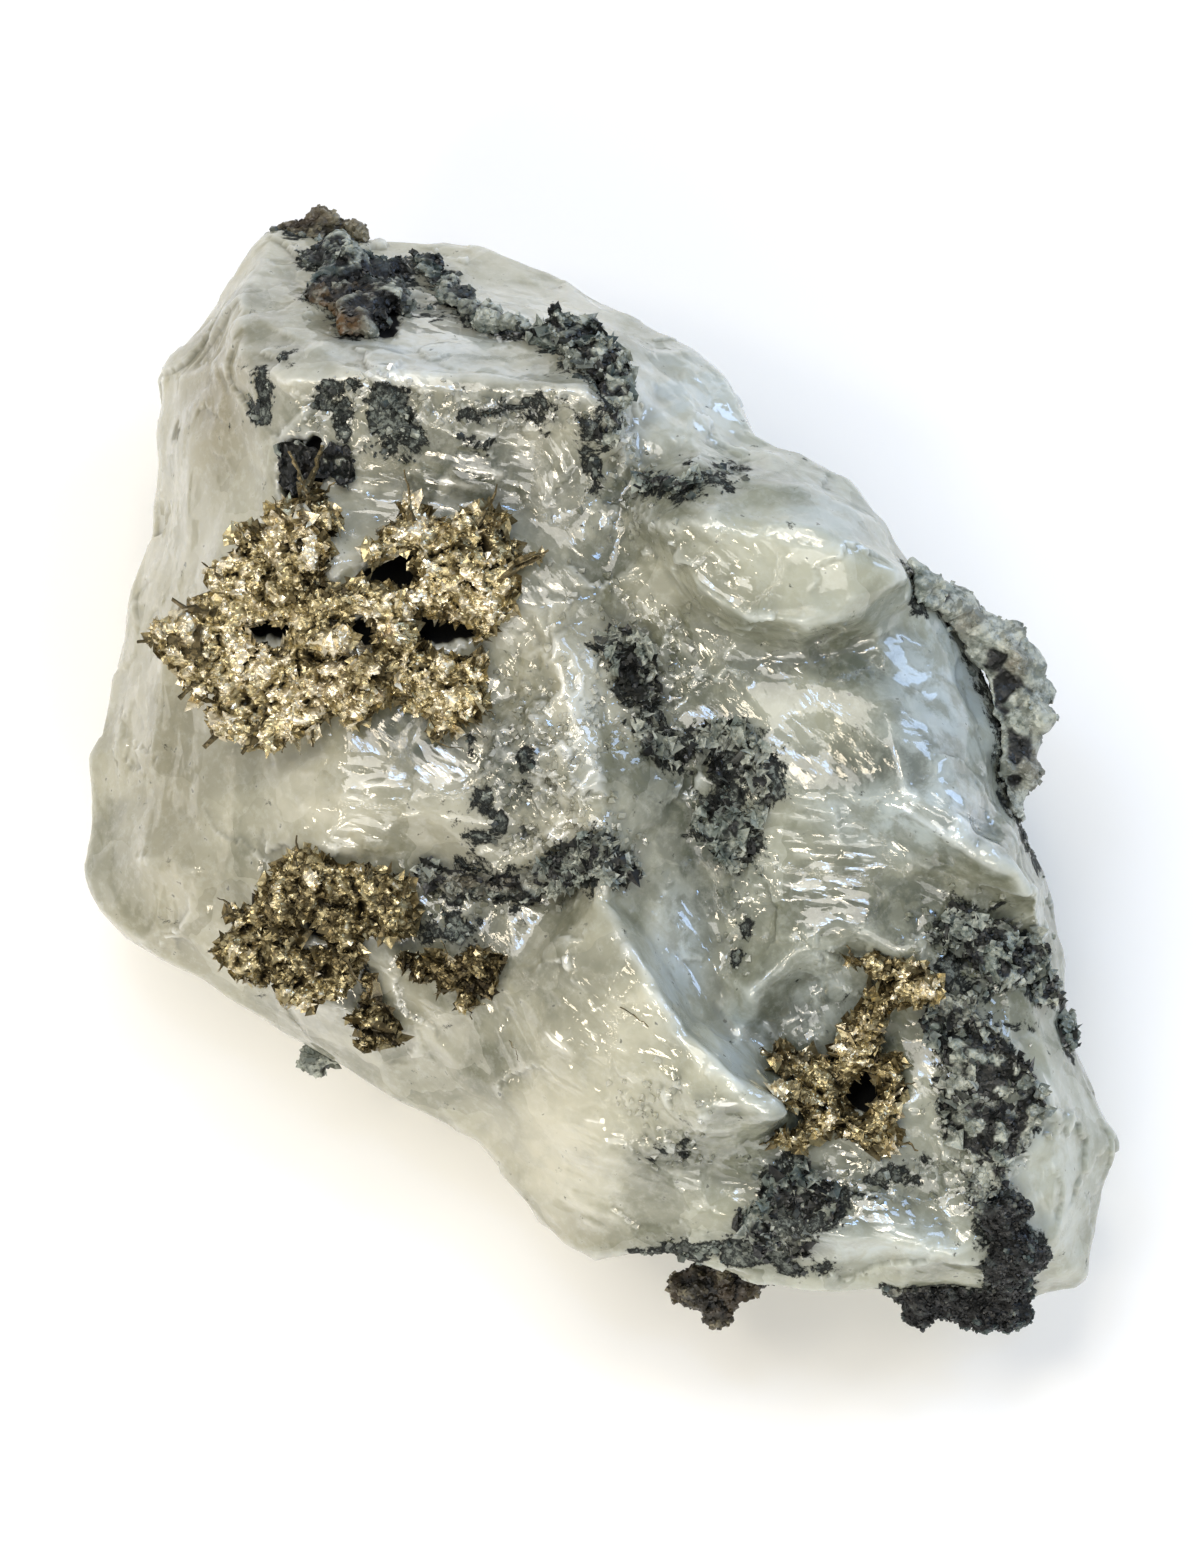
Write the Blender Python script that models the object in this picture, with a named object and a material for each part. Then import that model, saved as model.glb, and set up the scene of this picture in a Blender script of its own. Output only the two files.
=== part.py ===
"""Native silver on matrix: a block of milky, etched calcite with hackly silver and rough ore.

The block lies on its flat foot, z = 0. Its display face looks up and has axes of its own,
used for every place below: ACROSS to the right, UP along the face, OUT towards the viewer.
Places and sizes are in millimetres; face_point() turns them into metres in world space.
"""

import math
import random

import bmesh
import bpy
from mathutils import Matrix, Vector, noise
from mathutils.bvhtree import BVHTree
from mathutils.geometry import delaunay_2d_cdt

MM = 0.001

# Driving dimensions, in millimetres and degrees.
FACE_TURN = 48.0  # the face's ACROSS axis is turned this far from world X
FACE_RISE = 75.0  # the face looks this far above the horizon
FACE_ORIGIN = (2.1, -0.9, 37.2)  # the face's origin in world axes
RIM_SIZE = 1.008  # makes up for what rounding takes off the rim
BELLY_DEPTH = 0.45  # the flank's middle ring, as a share of the way down to the foot
BELLY_SIZE = 0.985
FOOT_SIZE = 0.80
FOOT_TRIM = 0.8  # the block is built this far below the table and then sliced off level
MATRIX_VOXEL = 0.75
MATRIX_TRIANGLES = 3300
EDGE_ROUNDING = 1  # smoothing passes
SEAT_GAP = 0.34  # air between a piece and what it grew on
ORE_VOXEL = 0.45
SILVER_VOXEL = 0.38

# Rim of the display face, clockwise from the top corner: (across, up, out).
RIM = [
    (-24, 39.4, -27), (-17.6, 38.9, -27), (-11.3, 38.6, -27), (-7.3, 37.8, -26), (-2.2, 35.3, -24),
    (2.9, 32.6, -20), (6.2, 30.7, -16), (9.7, 26.8, -13), (11.5, 23.9, -11), (14.2, 22.6, -10),
    (17.4, 20.5, -9), (20, 18, -8), (21.6, 15, -8), (25, 12.2, -13), (28.2, 4.6, -12),
    (29, -1.8, -12), (31.5, -7.5, -13), (33.3, -12.6, -15), (33, -16.8, -14), (34.5, -21, -13),
    (36.9, -26.5, -14), (35.2, -32.7, -16), (34.6, -36.4, -17), (30, -37.6, -16), (26, -35.6, -10),
    (20.6, -35.9, -9), (16.3, -36.4, -9), (11.4, -35.6, -9), (7, -34.2, -9), (2.8, -33.7, -10),
    (-0.3, -34.1, -12), (-4, -31.8, -13), (-6.8, -28.6, -13), (-9.3, -25.6, -14), (-13, -23.5, -15),
    (-21.6, -18.9, -17), (-30.2, -13.7, -17), (-33.8, -11.7, -17), (-35.8, -10, -18),
    (-36.8, -7.6, -19), (-36.8, -4, -20), (-36.7, 0.7, -21), (-34.5, 9, -22), (-32.4, 17.8, -22),
    (-31.8, 25, -22), (-31.7, 28.8, -23), (-27.8, 34.2, -25),
]

# Ridges, ledges and hollows that shape the display face: lines of (across, up, out).
RELIEF = {
    "upper_ridge": [(-25, 29, -6), (-22, 28, -3), (-17, 28.4, -1.5), (-12, 28, -1), (-6.5, 27.5, -1),
                    (-1, 27, -1), (1, 25.5, -2)],
    "back_foot": [(-21, 30.4, -6.5), (-15, 30.5, -6), (-10.5, 30.4, -6.5), (-5.5, 30, -7), (0, 30.2, -8)],
    "back_slope": [(-26, 33.4, -13), (-21.5, 35, -17), (-16.5, 35, -17), (-11, 34.3, -17),
                   (-5, 33.3, -17), (1.5, 30.6, -12.5), (4.5, 29, -12)],
    "step_foot": [(-22, 22.5, -4), (-18, 20.8, -4.5), (-12, 20, -4), (-5.5, 19, -4.5), (-0.7, 19.4, -4)],
    "step_side": [(2, 25, -6), (2.4, 21.5, -5), (1.4, 18.3, -4.5)],
    "shoulder": [(6.4, 26.5, -9), (7, 23.6, -6), (10.2, 22.7, -8)],
    "lens_back": [(3.2, 19.6, -3), (7, 21, -1.5), (12, 20.7, -1.5), (17, 19, -3), (20, 16.4, -4)],
    "lens_crest": [(4.6, 17.3, 1), (8.4, 17.8, 2.5), (13.2, 17.1, 3), (17.4, 15.7, 2.5), (20.5, 14.3, 0.5)],
    "lens_lip": [(4.8, 15.9, 0.5), (7, 12.8, 1.5), (10.1, 10.7, 2), (14, 10.3, 2), (17.8, 11.7, 1.5),
                 (21.2, 13.9, -0.5)],
    "lens_foot": [(3.9, 14.9, -2.5), (6.3, 11.4, -3), (10, 9.5, -3.5), (14.1, 8.9, -4), (18.9, 10.4, -4.5),
                  (22.2, 12.8, -6.5)],
    "right_rim": [(23.8, 9.2, -7.5), (25.9, 5.3, -7), (27.2, 0.4, -6)],
    "right_face": [(9.8, 6, -3.5), (15.5, 6, -2.5), (20, 3.9, -1.5), (23.9, 0, -1.5)],
    "right_step": [(18.3, 8.5, -4.5), (21.5, 6, -4)],
    "spur_crest": [(12, -1.8, -2.5), (17.5, -1.8, -1.5), (21.4, -1.6, 0), (25.2, -4.2, 0.5),
                   (28.7, -6.3, 0), (30.6, -7.8, -1.5)],
    "spur_foot": [(12, -4, -3.5), (18.3, -4.4, -3), (23.2, -6.1, -2.5), (28.2, -8.9, -4), (31, -10.6, -6)],
    "below_spur": [(12.7, -8.5, -3.5), (19, -8.8, -2.5), (23.6, -9.2, -3.5), (28.3, -12.4, -6)],
    "hollow_rim": [(10.4, -15.8, -3), (13.4, -12.7, -2.5), (18.3, -11.2, -2), (23.2, -12.7, -3)],
    "hollow_floor": [(13.4, -16.6, -6), (17, -15.2, -6.5), (21.6, -18, -6.5), (17.7, -19.8, -7.5),
                     (14.5, -21.2, -7)],
    "hollow_sill": [(13.8, -25, -5), (18.4, -25.4, -5.5), (23, -23.3, -5)],
    "apron": [(26.4, -16.6, -4.5), (30.8, -17.3, -7.5), (27.5, -22.2, -4), (32.2, -23.7, -6.5),
              (28.2, -27.9, -5.5), (32.6, -29.4, -8), (32.5, -33.8, -10)],
    "toe_crest": [(7, -31, -5.5), (12, -31.8, -5), (17.6, -32.4, -4.5), (22.6, -33.1, -4.5), (26, -34, -5.5)],
    "toe_valley": [(9.9, -28.6, -5.5), (14.8, -28.2, -6), (19.8, -28.6, -5.5), (23.3, -30.3, -6)],
    "white_ridge": [(0, -9.1, -0.5), (2.4, -12.6, 1), (5.6, -17.8, 2), (9.1, -21.2, 2.5), (12.8, -23.5, 2)],
    "white_ridge_foot": [(1.5, -7.9, -3), (4.4, -12.3, -4.5), (7.4, -16.7, -5), (10.4, -19.8, -5),
                         (13.4, -22.9, -4.5)],
    "front_swell": [(-5.6, -14.8, -3.5), (-2.8, -18.2, -2), (2.8, -20, 0), (7.3, -23.4, 1)],
    "front_swell_low": [(-4.6, -23.7, -6), (0, -25.7, -4), (4.2, -26.4, -3), (9.8, -26.4, -2.5)],
    "front_toe": [(-1, -30.2, -8.5), (3.5, -30.4, -6.5)],
    "trough": [(0.4, 14.1, -3.5), (2.8, 9.2, -4.5), (4.6, 3.9, -4.5), (6.3, -1.8, -5), (7.4, -7.4, -5.5),
               (8.8, -13, -5.5), (10.7, -18, -6)],
    "centre_crest": [(-4.2, 10.9, -2), (-2.1, 5.3, -0.5), (-0.7, -0.4, 0), (0.3, -5.3, -0.5)],
    "centre_west": [(-7, 6.7, -3.5), (-8.4, 1, -2.5), (-5.6, -3.9, -3)],
    "seam_hollow": [(-12.4, -6.6, -5.5), (-7, -7.8, -5.5), (-2.8, -8.5, -5)],
    "polished_swell": [(-21.2, -1.4, -5), (-17.6, -1.8, -2.5), (-12.6, -2.5, -2.5), (-15.5, -6.1, -4.5)],
    "nest_shelf": [(-19, 15.1, -1.5), (-14, 15.1, -2.5), (-8.4, 13.7, -2.5), (-12, 9.1, -3.5),
                   (-16.1, 8.4, -1.5), (-18.3, 4.2, -4)],
    "left_shoulder": [(-24.6, 25, -6), (-23.1, 20.8, -5), (-23.8, 15.9, -5), (-25.4, 11, -6),
                      (-24.2, 6, -7), (-22.3, 1.8, -7), (-24, -2.6, -7.5), (-26, -6.9, -9), (-25.3, -11.7, -10)],
    "low_shoulder": [(-21, -15.4, -9.5), (-16.3, -17.5, -9), (-12.1, -18.9, -8.5), (-8.2, -22, -8)],
    "low_shelf": [(-21.9, -8.9, -5.5), (-17.6, -10.3, -5), (-14.1, -13.4, -6.5), (-10, -14.9, -5.5)],
    "left_flank": [(-28.4, 29, -15), (-29, 24, -14), (-29.3, 18.2, -14), (-30.7, 11.8, -15),
                   (-31.7, 3.6, -14), (-32.3, -1.8, -14.5), (-32.5, -6, -13), (-29.4, -10.4, -13)],
}

# Breaks across the hidden underside: (outward normal, a point on the break).
BREAKS = [
    ((0.55, 0.70, -0.45), (15, 28, -24)),
    ((-0.85, 0.10, -0.52), (-35.5, 0, -29)),
    ((-0.50, -0.75, -0.45), (-14.5, -26, -22)),
    ((0.90, -0.10, -0.42), (36, -15, -21)),
    ((-0.40, 0.80, -0.45), (-24, 38.5, -33)),
    ((0.10, -0.90, -0.42), (15, -38, -20)),
]

# Each mat of silver: the outlines of its lobes and its open holes (across, up),
# the lowest OUT level at which it hangs over the flank, and spikes (from, to).
UPPER_MAT = {
    "lobes": [
        [(-31.5, 9.6), (-29, 11), (-26, 11.8), (-27.2, 14.3), (-25, 15.6), (-25.3, 17), (-22, 18.2),
         (-20, 17.6), (-19.6, 13.5), (-16, 12.8), (-15.6, 16.4), (-13.6, 18.3), (-10.5, 18.6), (-7.6, 18.4),
         (-6, 16.5), (-5.9, 12), (-7.4, 10.2), (-11, 9.4), (-14.5, 8.2), (-16.5, 4.5), (-19, 4),
         (-22, 3.4), (-26.5, 3.2), (-29, 7)],
        [(-14.6, 9), (-11, 8.9), (-8, 7.9), (-8.4, 4.9), (-10.6, 3.3), (-12.5, 5.3), (-14.4, 6.3)],
    ],
    "holes": [(-14.2, 14.4, 1.5), (-16.6, 9.8, 1.2), (-11.8, 10.4, 1.3), (-24.4, 10.4, 0.8), (-22.4, 10.2, 0.9)],
    "hang": -3.2,
    "spikes": [((-29, 9.4), (-32.2, 9.6)), ((-26, 11.6), (-29.3, 12.2)), ((-26.4, 13.6), (-27.6, 14.8)),
               ((-24, 16), (-25.2, 17.2)), ((-22, 17.4), (-22.6, 19.3)), ((-13, 17.6), (-13.6, 20.8)),
               ((-8.4, 17.4), (-7.2, 20)), ((-6.4, 14.6), (-3.8, 15.6)), ((-26, 4.4), (-27.8, 2)),
               ((-24.2, 4), (-25.2, 1.8)), ((-22.6, 4), (-23.4, 1.6)), ((-20, 4.6), (-20.2, 2.4)),
               ((-10.6, 4.6), (-11.2, 2.6)), ((-8.8, 5.4), (-7.6, 4.4)), ((-28, 5.8), (-29.4, 6.6))],
}
LOWER_MAT = {
    "lobes": [
        [(-26.4, -10.6), (-25, -9), (-22.8, -8.2), (-22.2, -6), (-20, -5.9), (-19.6, -7.2), (-16, -7.4),
         (-13.2, -8.2), (-13, -10), (-15.4, -10.8), (-17.4, -10.4), (-18, -13), (-17.4, -15),
         (-20.6, -15.6), (-24, -14.6), (-26.4, -13)],
    ],
    "holes": [(-20.4, -11.2, 0.7)],
    "hang": -6.5,
    "spikes": [((-21.4, -6.6), (-21.2, -4.4)), ((-25.4, -9.8), (-26.9, -8.8)), ((-16.6, -7.8), (-16.5, -6.4)),
               ((-14, -8.6), (-13.6, -6.9)), ((-25.4, -12.8), (-27, -13.2)), ((-20.6, -15), (-20.4, -16)),
               ((-14.2, -10.2), (-12.9, -11.6)), ((-18.2, -13), (-16.6, -13.4))],
}
# Twigs of silver: chains of lumps (across, up, radius).
TUFT = [(-16.2, -14.4, 0.5), (-16, -16, 0.6), (-16.8, -16.9, 1), (-15.4, -17.4, 1.2), (-16.4, -18.2, 0.9),
        (-14.5, -18.4, 0.7)]
TWIG = [(-13.8, -12.9, 0.7), (-12.6, -13.6, 0.9), (-11.2, -14, 1), (-10, -14.2, 1), (-8.6, -13.6, 1.1),
        (-7.6, -13.2, 0.9), (-7.8, -15, 0.8), (-9.8, -16.2, 0.5)]
BRANCH = [
    [(17.6, -12.9, 0.7), (19.4, -13.4, 0.9), (21.4, -14, 1), (23.4, -14.9, 1)],
    [(23.2, -14.8, 0.9), (21, -15.4, 1), (19.2, -16.4, 1.1), (18.4, -18.2, 1.1), (17.8, -19.8, 1.1)],
    [(17.8, -20, 1), (20, -20.6, 0.9), (21, -22.4, 0.9), (19.6, -24, 0.9), (17.4, -24.6, 1),
     (16.4, -23, 1)],
    [(17, -20.6, 1), (15, -20.8, 1.1), (13.4, -20, 1), (12, -19.8, 0.7)],
    [(16, -22.6, 1.2), (14.2, -22.8, 1.1), (12.6, -22.6, 0.8)],
    [(16.4, -24.4, 1.1), (14.4, -25.6, 0.9), (12.2, -25.6, 0.6)],
    [(19, -25.4, 0.9), (21, -25.8, 0.7)],
]
NECK = [(-19.8, 22, 0.7), (-20.4, 20.6, 0.8), (-19.8, 19.2, 0.9), (-19.4, 17.6, 1)]

# Rough ore: chains of lumps (across, up, radius), with the OUT level where they pass the rim.
ORE = {
    "ore_tip_top": [(-20.8, 39.4, 1.8, -27.5), (-22.8, 38.9, 1.3, -27.5), (-18.6, 38.9, 1.4, -27.5)],
    "ore_knob_top": [(-19.3, 37.3, 2), (-17.6, 35.4, 2.7), (-15.4, 33.6, 2.1), (-16.8, 31.8, 1.7),
                     (-19.4, 34.2, 1.9), (-15, 35.8, 1.5)],
    "ore_vein_back": [(-14.4, 38, 1.4, -26.5), (-12.6, 37, 1.4), (-10.2, 33.8, 1.4), (-8, 32, 1.5),
                      (-5.4, 31.2, 1.3)],
    "ore_knob_ridge": [(-2.4, 30.6, 1.9), (-0.4, 29, 2.1), (0.6, 26.8, 1.6), (0.2, 24, 1.1)],
    "ore_nest_neck": [(-21.4, 22.6, 1.3), (-21.6, 20.6, 1.2), (-18.4, 22.8, 1), (-18, 21, 1)],
    "ore_lens_edge": [(3.6, 20.6, 0.9), (6.2, 20.2, 1.1), (8.6, 20.6, 1.1), (9.8, 22, 0.9)],
    "ore_nest_upper": [(0.8, 9.2, 1.2), (2.2, 7.8, 1.6), (2.8, 5.8, 1.2)],
    "ore_nest_small": [(2.8, 3.6, 1.1), (4, 2, 1.2), (5.2, 1.6, 0.9)],
    "ore_nest_centre": [(7.8, 2.6, 1.5), (9.8, 1.4, 1.9), (10.4, -0.8, 1.7), (8.8, -3, 1.7), (9.8, -5.2, 1.3)],
    "ore_seam": [(-12, -6.8, 0.9), (-9.2, -7.6, 1.1), (-5.6, -8, 1.3), (-3, -6.6, 1.6), (-0.2, -5.6, 1.5),
                 (2, -6.6, 1.1)],
    "ore_flank_right": [(22.4, 13.4, 1.6), (24.4, 11.8, 2, -11.5), (26.6, 9.8, 2.3, -12), (28.8, 8, 2.4, -12),
                        (29.4, 5, 2.5, -12), (28.6, 1.2, 2.4, -12), (28.4, -2, 2, -11.5),
                        (30, -5.6, 1.6, -12), (31, -8.8, 1.5, -13)],
    "ore_patch_right": [(25, -10.6, 1.6), (27.2, -12.2, 2.1), (29.8, -13.2, 2), (31.4, -15, 1.6)],
    "ore_scree": [(24.6, -16.8, 1.7), (26, -18.8, 2), (27.6, -21.2, 2.1), (25.8, -23.8, 1.8),
                  (27.8, -26, 1.7), (27, -28.8, 1.4), (30, -23.4, 1.6)],
    "ore_edge_right": [(32.6, -19.2, 1.8, -12.5), (33.4, -21.6, 1.6, -13), (32, -17.4, 1.4, -13)],
    "ore_corner": [(28.4, -31.4, 2), (29.4, -34, 2.3), (28.8, -36.8, 2.4, -14), (26.4, -37, 2.4, -13),
                   (23.6, -36.6, 2.1, -12), (21.8, -36, 1.5, -11)],
    "ore_nest_bottom": [(13.4, -29.2, 2), (15.2, -30.2, 2), (12, -31.6, 1.6), (13.6, -33, 1.1)],
    "ore_foot_lump": [(7.8, -36.8, 2.1, -15), (9.6, -35.9, 2.2, -15), (11.4, -34.9, 1.8, -15)],
    "ore_spur_left": [(-20.4, -20.5, 1.3, -19.5), (-20.2, -18.6, 1.4, -19.5), (-18.2, -19.4, 1.2, -19.5)],
}
BROWN_ORE = ("ore_tip_top", "ore_foot_lump")

# Triangles of each growth before it is seated: ore's for each of its lumps.
ORE_DETAIL = 20
SILVER_DETAIL = {"silver_mat_upper": 800, "silver_mat_lower": 420, "silver_tuft": 110, "silver_twig": 150,
                 "silver_branch_right": 340, "silver_neck": 80}


def face_axes():
    turn = math.radians(FACE_TURN)
    rise = math.radians(FACE_RISE)
    across = Vector((math.cos(turn), math.sin(turn), 0))
    out = Vector((math.sin(turn) * math.cos(rise), -math.cos(turn) * math.cos(rise), math.sin(rise)))
    return across, out.cross(across), out


ACROSS, UP, OUT = face_axes()


def face_point(across, up, out):
    """A place given in the face's axes, in millimetres, as a world place in metres."""
    return (ACROSS * across + UP * up + OUT * out + Vector(FACE_ORIGIN)) * MM


def out_at_foot(up):
    """The OUT level at which a line at this UP meets the untrimmed foot."""
    return -(FACE_ORIGIN[2] + FOOT_TRIM + UP.z * up) / OUT.z


def clear_scene():
    for obj in list(bpy.data.objects):
        bpy.data.objects.remove(obj, do_unlink=True)


def new_object(name, bm):
    mesh = bpy.data.meshes.new(name)
    bm.to_mesh(mesh)
    bm.free()
    obj = bpy.data.objects.new(name, mesh)
    bpy.context.scene.collection.objects.link(obj)
    return obj


def apply_modifiers(obj):
    graph = bpy.context.evaluated_depsgraph_get()
    mesh = bpy.data.meshes.new_from_object(obj.evaluated_get(graph))
    obj.modifiers.clear()
    obj.data = mesh


def remesh(obj, voxel):
    modifier = obj.modifiers.new("Remesh", "REMESH")
    modifier.mode = "VOXEL"
    modifier.voxel_size = voxel * MM
    apply_modifiers(obj)


def smooth(obj, passes):
    modifier = obj.modifiers.new("Smooth", "SMOOTH")
    modifier.iterations = passes
    apply_modifiers(obj)


def decimate(obj, triangles):
    obj.data.calc_loop_triangles()
    modifier = obj.modifiers.new("Decimate", "DECIMATE")
    modifier.ratio = min(1, triangles / len(obj.data.loop_triangles))
    apply_modifiers(obj)


def roughen(obj, height, grain, seed):
    """Pushes each vertex in or out by noise: height and grain in millimetres."""
    offset = Vector((seed * 7.3, seed * 3.1, seed * 5.7))
    normals = [vertex.normal.copy() for vertex in obj.data.vertices]
    for vertex, normal in zip(obj.data.vertices, normals):
        swing = noise.fractal(vertex.co / (grain * MM) + offset, 1.0, 2.0, 3)
        vertex.co += normal * swing * height * MM


def keep_largest(obj):
    """Drops every loose crumb that a cut left behind."""
    bm = bmesh.new()
    bm.from_mesh(obj.data)
    unseen = set(bm.verts)
    bodies = []
    while unseen:
        stack = [unseen.pop()]
        body = [stack[0]]
        while stack:
            for edge in stack.pop().link_edges:
                for vert in edge.verts:
                    if vert in unseen:
                        unseen.remove(vert)
                        stack.append(vert)
                        body.append(vert)
        bodies.append(body)
    bodies.sort(key=len)
    for body in bodies[:-1]:
        bmesh.ops.delete(bm, geom=body, context="VERTS")
    bm.to_mesh(obj.data)
    bm.free()


def finish_colour(name, colour, roughness, metallic):
    material = bpy.data.materials.new(name)
    material.use_nodes = True
    shader = material.node_tree.nodes["Principled BSDF"]
    shader.inputs["Base Color"].default_value = (*colour, 1)
    shader.inputs["Roughness"].default_value = roughness
    shader.inputs["Metallic"].default_value = metallic
    material.diffuse_color = (*colour, 1)
    return material


# ---- the block of matrix ----

def face_mesh():
    """The display face as triangles between the rim and the relief lines."""
    places = [(across * RIM_SIZE, up * RIM_SIZE, out) for across, up, out in RIM]
    edges = []
    for line in RELIEF.values():
        first = len(places)
        places += line
        edges += [(first + step, first + step + 1) for step in range(len(line) - 1)]
    flat = [Vector(place[:2]) for place in places]
    rim_loop = list(range(len(RIM)))
    _, _, triangles, sources, _, _ = delaunay_2d_cdt(flat, edges, [rim_loop[::-1]], 1, 1e-5)
    triangles = [[sources[corner][0] for corner in triangle] for triangle in triangles]
    return places, triangles


def flank_rings():
    """The rim's way down to the foot: a belly ring, then a foot ring on the table."""
    belly = []
    foot = []
    for across, up, out in RIM:
        drop = (out - out_at_foot(up)) * BELLY_DEPTH
        belly.append((across * BELLY_SIZE, up * BELLY_SIZE, out - drop))
        foot.append((across * FOOT_SIZE, up * FOOT_SIZE, out_at_foot(up * FOOT_SIZE)))
    return belly, foot


def cut_plane(bm, point, normal):
    """Removes what lies beyond the plane and closes the cut with one flat face."""
    geometry = bm.verts[:] + bm.edges[:] + bm.faces[:]
    cut = bmesh.ops.bisect_plane(
        bm, geom=geometry, plane_co=point, plane_no=normal, clear_outer=True
    )
    edges = [item for item in cut["geom_cut"] if isinstance(item, bmesh.types.BMEdge)]
    bmesh.ops.contextual_create(bm, geom=edges)


def block_solid():
    """The whole block, sharp-edged: display face, flanks and flat foot."""
    places, triangles = face_mesh()
    belly, foot = flank_rings()
    bm = bmesh.new()
    verts = [bm.verts.new(face_point(*place)) for place in places + belly + foot]
    for triangle in triangles:
        bm.faces.new([verts[corner] for corner in triangle])
    rim = list(range(len(RIM)))
    belly_start = len(places)
    foot_start = belly_start + len(belly)
    for here in rim:
        after = (here + 1) % len(rim)
        bm.faces.new([verts[i] for i in (here, after, belly_start + after, belly_start + here)])
        bm.faces.new([verts[i] for i in (belly_start + here, belly_start + after,
                                         foot_start + after, foot_start + here)])
    bm.faces.new([verts[foot_start + here] for here in rim])
    bmesh.ops.recalc_face_normals(bm, faces=bm.faces[:])
    return bm


def make_matrix():
    block = new_object("matrix", block_solid())
    remesh(block, MATRIX_VOXEL)
    bm = bmesh.new()
    bm.from_mesh(block.data)
    for normal, point in BREAKS:
        world_normal = ACROSS * normal[0] + UP * normal[1] + OUT * normal[2]
        cut_plane(bm, face_point(*point), world_normal)
    bmesh.ops.triangulate(bm, faces=bm.faces[:])
    bm.to_mesh(block.data)
    bm.free()
    remesh(block, MATRIX_VOXEL)
    smooth(block, EDGE_ROUNDING)
    roughen(block, 0.35, 9.0, 1)
    decimate(block, MATRIX_TRIANGLES)
    bm = bmesh.new()
    bm.from_mesh(block.data)
    cut_plane(bm, Vector((0, 0, 0)), Vector((0, 0, -1)))
    bmesh.ops.triangulate(bm, faces=bm.faces[:])
    bm.to_mesh(block.data)
    bm.free()
    block.data.materials.append(finish_colour("milky_calcite", (0.62, 0.60, 0.53), 0.25, 0))
    return block


# ---- what grew on the block ----

LOOK_FROM = 30.0  # an OUT level clear of everything, from which the ground is measured
NO_HANG = -99.0  # for a growth that follows the ground all the way


class Ground:
    """Finds how far OUT the block's surface is at a place on the display face."""

    def __init__(self, block):
        bm = bmesh.new()
        bm.from_mesh(block.data)
        self.tree = BVHTree.FromBMesh(bm)
        bm.free()

    def level(self, across, up):
        hit = self.tree.ray_cast(face_point(across, up, LOOK_FROM), -OUT)
        return None if hit[0] is None else LOOK_FROM - hit[3] / MM


def lump_place(ground, lump, lift, hang):
    """Where a lump's middle goes: on the surface, on its stated level, or hanging at the mat's edge."""
    across, up, radius = lump[:3]
    if len(lump) > 3:
        return Vector((across, up, lump[3]))
    level = ground.level(across, up)
    if level is None:
        level = hang
    return Vector((across, up, max(level + radius * lift, hang)))


def add_ball(bm, place, radius):
    where = Matrix.Translation(face_point(*place))
    bmesh.ops.create_icosphere(bm, subdivisions=2, radius=radius * MM, matrix=where)


def add_rod(bm, start, end, start_radius, end_radius):
    """A tapered rod between two places on the face: a spike, or the link between two lumps."""
    low = face_point(*start)
    high = face_point(*end)
    along = high - low
    turn = along.to_track_quat("Z", "Y").to_matrix().to_4x4()
    bmesh.ops.create_cone(
        bm, cap_ends=True, segments=8, radius1=start_radius * MM, radius2=end_radius * MM,
        depth=along.length, matrix=Matrix.Translation((low + high) / 2) @ turn,
    )


def add_chain(bm, ground, chain, lift):
    """Lumps joined end to end. Returns where each lump's middle went."""
    places = [lump_place(ground, lump, lift, NO_HANG) for lump in chain]
    for place, lump in zip(places, chain):
        add_ball(bm, place, lump[2])
    for step in range(len(chain) - 1):
        add_rod(bm, places[step], places[step + 1], chain[step][2] * 0.8, chain[step + 1][2] * 0.8)
    return places


def random_direction(chance):
    """A direction in the face's axes that never points back into the block."""
    angle = chance.uniform(0, math.tau)
    rise = chance.uniform(-0.15, 0.9)
    flat = math.sqrt(1 - rise * rise)
    return Vector((math.cos(angle) * flat, math.sin(angle) * flat, rise))


def inside(outline, across, up):
    """Whether a place lies inside an outline, by counting the edges to its right."""
    count = 0
    for here, after in zip(outline, outline[1:] + outline[:1]):
        if (here[1] > up) == (after[1] > up):
            continue
        share = (up - here[1]) / (after[1] - here[1])
        count += here[0] + share * (after[0] - here[0]) > across
    return count % 2 == 1


def mat_lumps(mat, pitch, radius, seed):
    """Lumps that fill the mat's lobes and leave its holes open."""
    chance = random.Random(seed)
    lumps = []
    for outline in mat["lobes"]:
        lows = [min(place[axis] for place in outline) for axis in (0, 1)]
        highs = [max(place[axis] for place in outline) for axis in (0, 1)]
        for row in range(int((highs[1] - lows[1]) / pitch) + 1):
            for column in range(int((highs[0] - lows[0]) / pitch) + 1):
                across = lows[0] + (column + chance.uniform(0.1, 0.9)) * pitch
                up = lows[1] + (row + chance.uniform(0.1, 0.9)) * pitch
                size = radius * chance.uniform(0.8, 1.25)
                in_hole = any(math.dist((across, up), hole[:2]) < hole[2] + size * 0.45 for hole in mat["holes"])
                if inside(outline, across, up) and not in_hole:
                    lumps.append((across, up, size))
    return lumps


def make_mat(name, ground, mat, seed):
    """A mat of silver: close-set lumps at uneven heights, with spikes round its edge."""
    bm = bmesh.new()
    chance = random.Random(seed)
    for lump in mat_lumps(mat, 1.0, 0.85, seed):
        add_ball(bm, lump_place(ground, lump, chance.uniform(0.5, 2.1), mat["hang"]), lump[2])
    for root, tip in mat["spikes"]:
        foot = lump_place(ground, (*root, 0.8), 0.9, mat["hang"])
        add_rod(bm, foot, Vector((*tip, foot.z + chance.uniform(-0.4, 0.8))), 0.8, 0.22)
    return new_object(name, bm)


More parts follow.
